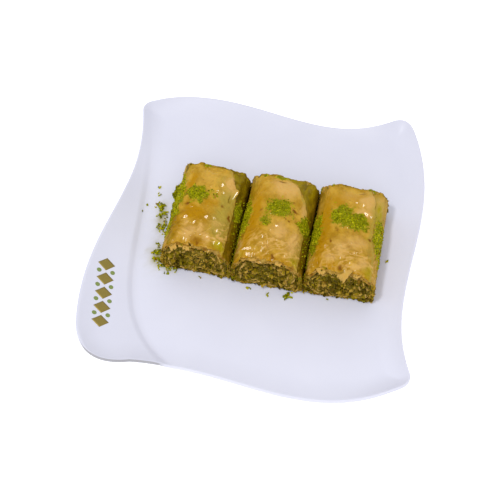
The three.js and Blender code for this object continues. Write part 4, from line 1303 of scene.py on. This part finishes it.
# %% [markdown]
# ## Ground pistachio
# Ground pistachio is two things at once: bright green kernel and bits of brown-violet skin. Loose on top it
# is fresh and vivid. Inside the roll it has been baked and soaked, so it is olive to brown and darker between
# the grains. One function makes both finishes from a list of tones: the grain's own `tone` picks one. Over
# some 6 mm at a time all grains change together: darker where syrup soaked in, golden where they stayed dry.

# %% Materials of the nuts
SOAKED, DRY = "4a3c06", "b8943c"


def ramp_of(tree, value, tones):
    """A colour picked by a value from a row of tones, each a place from 0 to 1 and a colour."""
    ramp = add_node(tree, "ShaderNodeValToRGB", {"Fac": value})
    stops = ramp.color_ramp.elements
    while len(stops) < len(tones):
        stops.new(1.0)
    for stop, (share, hex_colour) in zip(stops, tones):
        stop.position = share
        stop.color = linear(hex_colour)
    return ramp.outputs["Color"]


def ground_nuts(name, tones, roughness, soak, dry):
    """Nuts in these tones. Soaked and dry places pull the tones together by the last two shares."""
    material, tree, place = new_material(name)
    kernel = ramp_of(tree, carried(tree, "tone"), tones)
    cloud = noise(tree, place, 6.0)
    wet = mix(tree, rising(tree, cloud, 0.47, 0.62, soak), kernel, linear(SOAKED))
    colour = mix(tree, rising(tree, cloud, 0.47, 0.36, dry), wet, linear(DRY))
    finish_material(tree, {
        "Base Color": colour, "Roughness": roughness, "IOR": 1.45, "Specular IOR Level": 0.03,
        "Normal": bumps(tree, noise(tree, place, 0.5), 0.4, 0.1),
        "Subsurface Weight": 0.1, "Subsurface Radius": (1.0, 0.9, 0.3), "Subsurface Scale": 0.4 * MM,
    })
    return material


FRESH_NUTS = ground_nuts("fresh ground pistachio", (
    (0.0, "5e6002"), (0.2, "858802"), (0.55, "a8a804"), (0.85, "c6be1c"), (1.0, "8a6414"),
), roughness=0.55, soak=0.2, dry=0.0)
BAKED_NUTS = ground_nuts("baked ground pistachio", (
    (0.0, "382a04"), (0.22, "6b5e06"), (0.5, "907e0e"), (0.72, "a68a1c"), (0.88, "cda84a"), (1.0, "7c5a0e"),
), roughness=0.4, soak=0.75, dry=0.5)


def filling_core():
    material, tree, place = new_material("baked pistachio paste")
    grain = noise(tree, place, 1.6, detail=5.0, roughness=0.65)
    ground = ramp_of(tree, grain, ((0.35, "2e2204"), (0.62, "84741c")))
    finish_material(tree, {
        "Base Color": lay_over(tree, ground, (("sheet", "c09c50"),), grain), "Roughness": 0.5, "IOR": 1.45,
        "Specular IOR Level": 0.08, "Normal": bumps(tree, grain, 0.6, 0.5),
    })
    return material


PASTE = filling_core()
print("finishes of the nuts:", [m.name for m in (FRESH_NUTS, BAKED_NUTS, PASTE)])

# %% [markdown]
# ## Strewing the nuts
# A carrier is a bare copy of the surface that the nuts lie on, with the `cover` value that says how thick.
# It only guides the scattering and is deleted afterwards. Five sizes of grain are used in all: fine on the
# crowns, coarser in the cut faces with a few real lumps among them, and two more for the crumbs on the plate
# and for the bank beside the first roll.

# %% Nuts on the rolls
def crown_part(roll):
    """The outer face of one wrap, with its cover of nuts."""
    loop, girth = wrap_points(roll)
    outside = loop[:, : ROWS_ALONG + 1]
    faces = grid_faces(*outside.shape[:2], rows_meet=True)
    return placed(roll, outside), faces, nut_cover(roll, girth, outside[..., 1])


crown_carrier = gathered("carrier of the crowns", [crown_part(roll) for roll in ROLLS])
sprinkled = scatter("sprinkled_pistachio", crown_carrier, grains=5.0, size=0.85, material=FRESH_NUTS, seed=4)

# %% Nuts in the cut faces
CARRIER_RINGS, CARRIER_EDGE = 23, 0.985  # rings over a cut face, and how far out the last one lies
RIM_COVER = (0.9, 0.08)  # how thick nuts lie on the sheets' edges, low down and on the crown


def cut_parts(roll):
    """Both cut faces of a roll: the filling, and with fewer grains the edges of the sheets round it."""
    parts = []

    def add(grid, cover):
        parts.append((placed(roll, grid), grid_faces(*grid.shape[:2], rows_meet=True), cover))

    angle, _ = even_angles(roll, CORE_POINTS)
    shares = np.linspace(0.0, CARRIER_EDGE, CARRIER_RINGS + 1)[1:]
    for end in (-1, 1):
        rings = [core_ring(roll, end, share, angle) for share in shares]
        sheet = np.stack([value for _, value in rings], axis=1)
        add(np.stack([ring for ring, _ in rings], axis=1), 1.0 - np.clip(sheet, 0.0, 1.0))
    loop, _ = wrap_points(roll)
    ends = (loop.shape[1] - ROWS_ALONG - 1) // 2
    back = loop[:, ROWS_ALONG : ROWS_ALONG + ends + 1]
    front = np.concatenate([loop[:, ROWS_ALONG + ends + 1 :], loop[:, :1]], axis=1)
    for rim in (back, front):
        add(rim, lerp(*RIM_COVER, smooth((rim[..., 2] - 10.0) / 8.0)))
    return parts


def cut_carrier():
    """The carrier of all cuts, made anew each time, since strewing uses it up."""
    return gathered("carrier of the cuts", [part for roll in ROLLS for part in cut_parts(roll)])


crumbly = scatter("crumbly_cut_pistachio", cut_carrier(), grains=1.1, size=1.1, material=BAKED_NUTS, seed=9)
lumps = scatter("lumps_in_the_cut", cut_carrier(), grains=0.12, size=2.4, material=BAKED_NUTS, seed=19)

# %% [markdown]
# ## Crumbs on the plate
# A drift of crumbs lies along the first roll's left side, and a few more have strayed. Each is a small domed
# square of carrier on the plate's face. The cover falls off raggedly, so the grains heap up in its middle.

# %% Strew the crumbs
CRUMBS = (
    # across, away, radius of the heap, how thick
    (-66.9, 15.1, 0.7, 1.0), (-63.7, 15.0, 0.7, 1.0), (-58.8, 32.6, 1.4, 0.8), (-58.5, 27.1, 1.0, 0.8),
    (-64.4, 19.3, 0.7, 0.8), (-57.0, 19.2, 3.6, 1.0), (-55.0, 13.4, 3.2, 0.9), (-56.6, 12.0, 2.4, 0.8),
    (-53.6, 7.4, 2.4, 0.8), (-56.0, 5.2, 3.2, 1.0), (-52.2, 3.2, 2.6, 0.7), (-56.0, -6.6, 2.2, 0.9),
    (-55.6, -10.8, 3.2, 1.0), (-55.8, -15.0, 3.2, 1.0), (-53.5, -20.0, 2.4, 0.9), (-49.4, -21.2, 3.0, 1.0),
    (-44.9, -21.5, 2.4, 0.8), (-57.8, -13.0, 1.8, 0.6),
    (19.6, -34.0, 2.8, 1.0), (22.4, -31.0, 1.6, 0.8), (74.0, 1.8, 0.7, 1.0), (74.2, -7.3, 0.7, 1.0),
    (-30.0, -25.5, 1.2, 0.5), (-3.0, -31.0, 1.5, 0.5), (8.0, -33.2, 1.2, 0.4), (41.0, -34.8, 1.4, 0.5),
)
HEAP_STEPS = 11
HEAP_RAGGED, HEAP_RAGGED_SIZE = 0.45, 2.5
HEAP_FOOT, HEAP_RISE = 0.2, 0.35  # height of its foot, and of the dome on it as a share of its radius


def crumb_part(x, y, radius, thick):
    """One small domed square of carrier on the plate's face."""
    u, v = np.meshgrid(np.linspace(-1.0, 1.0, HEAP_STEPS), np.linspace(-1.0, 1.0, HEAP_STEPS))
    plan = np.dstack([x + radius * u, y + radius * v])
    away = np.hypot(u, v) + HEAP_RAGGED * uneven(plan[..., 0], plan[..., 1], HEAP_RAGGED_SIZE, 2, 71)
    rise = HEAP_FOOT + HEAP_RISE * radius * (1.0 - smooth(away))
    cover = thick * (1.0 - smooth((away - 0.5) / 0.6))
    return np.dstack([plan, plate_height(plan) + rise]), grid_faces(HEAP_STEPS, HEAP_STEPS)[:, ::-1], cover


crumb_carrier = gathered("carrier of the crumbs", [crumb_part(*heap) for heap in CRUMBS])
crumbs = scatter("crumbs_on_the_plate", crumb_carrier, grains=3.0, size=1.35, material=FRESH_NUTS, seed=12)

# %% [markdown]
# ## A bank of nuts beside the first roll
# Most of what fell off the first roll came to rest against its left side. It is a bank: highest at the flank,
# running out to nothing on the plate, widest towards the back. A low closed slab gives it body, and the same
# tree strews grains over it.

# %% Heap the bank and strew it
BANK = (
    # along the roll, how wide, how high at the flank
    (-22, 0.4, 0.6), (-14, 1.8, 3.0), (-5, 2.6, 5.0), (5, 3.2, 7.5), (14, 4.2, 9.0), (21, 5.0, 10.0),
    (25, 4.4, 8.0), (29, 0.6, 1.5),
)
BANK_ROWS, BANK_COLUMNS = 60, 12
BANK_LAP = 0.8  # how far the bank laps under the flank
BANK_FOOT, BANK_SINK = 0.15, 0.1  # how high its thin edge stands, and how far its underside sinks in
BANK_HOLLOW = 1.3  # above 1, it is steeper at the flank than further out
BANK_LUMPS, BANK_LUMP_SIZE = 0.3, 4.0


def bank_grid():
    """The bank seen from above, rows along the roll and columns out from the flank, and its height."""
    roll = ROLLS[0]
    place, width, height = np.array(BANK, float).T
    along = np.linspace(place[0], place[-1], BANK_ROWS)[:, None]
    out = np.linspace(0.0, 1.0, BANK_COLUMNS)[None, :]
    lumpy = 1.0 + BANK_LUMPS * uneven(along, 0.0 * along, BANK_LUMP_SIZE, 3, 91)
    reach = BANK_LAP + np.interp(along, place, width) * lumpy
    across = BANK_LAP - roll["width"] / 2.0 - reach * out
    rise = BANK_FOOT + np.interp(along, place, height) * lumpy * (1.0 - out) ** BANK_HOLLOW
    plan = placed(roll, np.stack(np.broadcast_arrays(across, along, 0.0), axis=-1))[..., :2]
    return plan, rise


bank_plan, bank_rise = bank_grid()
plate_under = plate_height(bank_plan)
upper = np.dstack([bank_plan, plate_under + bank_rise])
lower = np.dstack([bank_plan, plate_under - BANK_SINK])
bank = new_piece("bank_of_fallen_nuts", *slab(upper[:, ::-1], lower[:, ::-1]))
thinning = np.ones((BANK_ROWS, 1)) * (1.0 - 0.5 * np.linspace(0.0, 1.0, BANK_COLUMNS) ** 3)
bank_faces = grid_faces(BANK_ROWS, BANK_COLUMNS)[:, ::-1]
bank_carrier = gathered("carrier of the bank", [(upper, bank_faces, thinning)])
bank_grains = scatter("grains_on_the_bank", bank_carrier, grains=4.5, size=0.95, material=FRESH_NUTS, seed=15)

# %% [markdown]
# ## The printed mark on the wing
# The wing carries a small print, fired on over the glaze. Here it is a plain traditional border: a column of
# gold lozenges with green dots between them. Each motif is a very thin slab that follows the wing's slope.
# A square grid turned by an eighth gives the lozenge, and the same grid pushed round gives the dot.

# %% Print the wing
PRINT_LINE = ((-82.7, -19.5), (-81.6, -64.6))
LOZENGES = 5
LOZENGE_HALF = (4.6, 3.9)
DOT_RADIUS, DOT_ASIDE = 1.25, 3.6
PRINT_THICK, MOTIF_POINTS = 0.08, 9


def motif(centre, half_across, half_along, lozenge):
    side = np.linspace(-1.0, 1.0, MOTIF_POINTS)
    u, v = np.meshgrid(side, side)
    if lozenge:
        x, y = (u - v) / 2.0, (u + v) / 2.0
    else:
        x, y = u * np.sqrt(1.0 - v**2 / 2.0), v * np.sqrt(1.0 - u**2 / 2.0)
    plan = np.dstack([centre[0] + half_across * x, centre[1] + half_along * y])
    height = plate_height(plan)
    return slab(np.dstack([plan, height + PRINT_THICK]), np.dstack([plan, height - PRINT_THICK]))


first, last = (np.array(end) for end in PRINT_LINE)
lozenge_places = [lerp(first, last, (k + 0.5) / LOZENGES) for k in range(LOZENGES)]
dot_places = [lerp(first, last, (k + 1.0) / LOZENGES) for k in range(LOZENGES - 1)]
gold_print = gathered("gold_lozenges", [motif(place, *LOZENGE_HALF, True) for place in lozenge_places])
green_print = gathered("green_dots", [
    motif(place + [side, 0.0], DOT_RADIUS, DOT_RADIUS, False)
    for place in dot_places
    for side in (-DOT_ASIDE, DOT_ASIDE)
])

# %% [markdown]
# ## Print colours
# The gold is bright gold lustre, a thin metal film fired on: a muted yellow metal, a little rough. The green
# is enamel, a coloured glass, so it is glossy and even. Speckle of about half a millimetre comes from the
# screen through which both were printed.

# %% Materials of the print
def print_colour(name, dark, light, settings):
    material, tree, place = new_material(name)
    colour = mix(tree, noise(tree, place, 0.5), linear(dark), linear(light))
    finish_material(tree, {"Base Color": colour, **settings})
    return material


GOLD = print_colour("gold lustre", "8b7a35", "a5924e", {"Metallic": 0.6, "Roughness": 0.4})
GREEN = print_colour("green enamel", "75863a", "88985a", {"Roughness": 0.25, "IOR": 1.5})
print("print colours:", GOLD.name, "and", GREEN.name)

# %% [markdown]
# ## Bare, stained and wet places of the plate, and painted shade
# A used plate is not white all over. The foot ring is bare where it meets the table. Along the wing's front
# edge the rim is painted grey as shade, where the raised edge lies in its own shadow. A stain shows where
# syrup crept out from under the first roll, and a dark pool of it lies under all three; where the pool
# reaches into the gaps between pressed rolls it is painted shade of the gaps. The porcelain reads these
# four as values too, so they need no pictures.

# %% Values of the plate
BARE_BELOW = 0.2  # the foot ring stands on bare, unglazed porcelain
SHADED_RIM = (0.1, 0.4)  # the painted shade starts this far out on the rounded rim, and is full after this width
SHADE_BEFORE, SHADE_BEYOND, SHADE_FADE = -60.0, -93.0, 10.0  # in front of the first and right of the second
STAINS = (
    # across, away, half width, half length
    (-55.5, -13.0, 4.4, 7.0), (-48.0, -19.5, 4.0, 2.5), (-55.5, 12.0, 2.6, 9.0),
)
STAIN_STRENGTH = 0.6
POOL_BEYOND, POOL_SHORT = 1.5, 2.5  # the dark pool reaches into the gap at a pressed flank as painted shade, and stays back from a free one
POOL_BACK = 1.5  # and from the cuts


def painted_edge_shade(x, y):
    """Painted shade: grey on the rounded rim along the wing's front edge, where the raised edge shades
    itself.
    """
    plan = np.stack([x, y], axis=-1)
    start, width = SHADED_RIM
    past_rim = smooth((-signed_distance(plan, OUTLINE) - start) / width)
    on_wing = smooth(signed_distance(plan, CREASE) / 6.0) * smooth((SHADE_BEFORE - y) / SHADE_FADE)
    return past_rim * on_wing * smooth((x - SHADE_BEYOND) / SHADE_FADE)


def syrup_stain(x, y):
    """Where syrup crept out from under the first roll."""
    stain = np.zeros(len(x))
    for cx, cy, half_x, half_y in STAINS:
        away = ((x - cx) / half_x) ** 2 + ((y - cy) / half_y) ** 2
        ragged = away * (1.0 + 0.6 * uneven(x, y, 4.0, 2, 77))
        stain = np.maximum(stain, STAIN_STRENGTH * np.exp(-ragged))
    return stain


def syrup_pool(x, y):
    """Syrup under the rolls, and painted shade in the gaps where they were pressed together."""
    pool_and_gap_shade = np.zeros(len(x), bool)
    for roll in ROLLS:
        turn = math.radians(roll["turn"])
        dx, dy = x - roll["at"][0], y - roll["at"][1]
        across = dx * math.cos(turn) + dy * math.sin(turn)
        along = dy * math.cos(turn) - dx * math.sin(turn)
        spare = [POOL_BEYOND if press else -POOL_SHORT for press in roll["press"]]
        left, right = (roll["width"] / 2.0 + more for more in spare)
        pool_and_gap_shade |= (across > -left) & (across < right) & (np.abs(along) < roll["length"] / 2.0 - POOL_BACK)
    return pool_and_gap_shade


def dress_plate():
    co = np.zeros(len(plate.data.vertices) * 3)
    plate.data.vertices.foreach_get("co", co)
    x, y, z = co.reshape(-1, 3).T / MM
    upper_face = z > FLOOR - 1.0
    set_value(plate.data, "bare", z < BARE_BELOW)
    # painted shade: grey on the rim along the wing's front edge
    set_value(plate.data, "painted_edge_shade", painted_edge_shade(x, y))
    set_value(plate.data, "stain", syrup_stain(x, y) * upper_face)
    # syrup under the rolls; where it shows in the gaps it is painted shade
    set_value(plate.data, "pool_and_gap_shade", syrup_pool(x, y) & upper_face)
    plate.data.shade_smooth()
    print("points of the plate under syrup:", int((syrup_pool(x, y) & upper_face).sum()))


dress_plate()

# %% [markdown]
# ## Dressing the pieces
# Each finished piece gets its material, rides on the plate's one body and stands for its solid. The loose
# nuts and the print stand for no solid: they only come along.

# %% Dress, ride and replace
def dress(piece, material, replaced=None):
    """Gives a piece its material, its body and the solid that it stands for, if any."""
    piece.data.materials.clear()
    piece.data.materials.append(material)
    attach(piece, "root")
    if replaced:
        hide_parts(replaced)


dress(plate, PORCELAIN, "plate")
for roll, wrap, filling in zip(ROLLS, wraps, fillings):
    dress(wrap, FILO, f"wrap_{roll['name']}")
    dress(filling, PASTE, f"filling_{roll['name']}")
for nuts, finish in (
    (sprinkled, FRESH_NUTS), (crumbly, BAKED_NUTS), (lumps, BAKED_NUTS),
    (crumbs, FRESH_NUTS), (bank, FRESH_NUTS), (bank_grains, FRESH_NUTS),
):
    dress(nuts, finish)
dress(gold_print, GOLD)
dress(green_print, GREEN)

# %% [markdown]
# ## Table and light
# A packshot on white: the table is a matt white sheet that also glows a little, so that it stays white right
# up to the plate. Most of the light comes evenly from a white room, as in a light tent, and a weak softbox
# above the front brightens the cut faces. One small lamp from the front left draws the short soft shadows to
# the right of the rolls and the white gleams on the syrup.

# %% Floor, lamp and surroundings
LAMP = dict(place=LAMP_AT * MM, size=0.15, power=4.4)
SOFTBOX = dict(place=Vector((0.07, -0.65, 1.12)), size=0.95, power=2.2)
ROOM_STRENGTH = 0.7
TABLE_HALF = 3000.0


def white_table():
    material, tree, place = new_material("matt white table")
    white = mix(tree, noise(tree, place, 40.0), linear("f4f4f4"), linear("f8f8f8"))
    finish_material(tree, {
        "Base Color": white, "Roughness": 0.9, "IOR": 1.3,
        "Emission Color": linear("ffffff"), "Emission Strength": 0.45,
    })
    return material


corners = TABLE_HALF * np.array([[-1.0, -1.0, 0.0], [1.0, -1.0, 0.0], [1.0, 1.0, 0.0], [-1.0, 1.0, 0.0]])
table = new_piece("table", corners, [[0, 1, 2, 3]])
table.data.materials.append(white_table())


def shine(name, place, size, power):
    """A round area light that faces the plate, in metres and watts."""
    light = bpy.data.objects.new(name, bpy.data.lights.new(name, "AREA"))
    light.data.shape = "DISK"
    light.data.size = size
    light.data.energy = power
    light.location = place
    light.rotation_euler = place.to_track_quat("Z", "Y").to_euler()
    bpy.context.scene.collection.objects.link(light)
    return light


shine("lamp", **LAMP)
shine("softbox", **SOFTBOX)
room = bpy.data.worlds.new("white room")
room.use_nodes = True
room.node_tree.nodes["Background"].inputs["Color"].default_value = linear("ffffff")
room.node_tree.nodes["Background"].inputs["Strength"].default_value = ROOM_STRENGTH
bpy.context.scene.world = room
bpy.context.scene.view_settings.view_transform = "Standard"
print("lights:", [light.name for light in bpy.data.lights])

# %% [markdown]
# ## Camera
# The camera stands where the eye was settled, so the rolls' fronts and crowns both show. A long lens keeps
# the plate's far side nearly as wide as its near side. Its three axes are worked out directly.

# %% Camera
SENSOR_WIDTH, FOCAL_LENGTH = 36.0, 100.8

sideways = Vector((math.cos(AZIMUTH), math.sin(AZIMUTH), 0.0))
upwards = backwards.cross(sideways)
camera = bpy.data.objects.new("camera", bpy.data.cameras.new("camera"))
camera.data.sensor_width = SENSOR_WIDTH
camera.data.lens = FOCAL_LENGTH
axes = Matrix((sideways, upwards, backwards)).transposed().to_4x4()
camera.matrix_world = Matrix.Translation(EYE_AT * MM) @ axes
bpy.context.scene.collection.objects.link(camera)
bpy.context.scene.camera = camera
print("camera at", tuple(round(c, 3) for c in camera.matrix_world.translation))
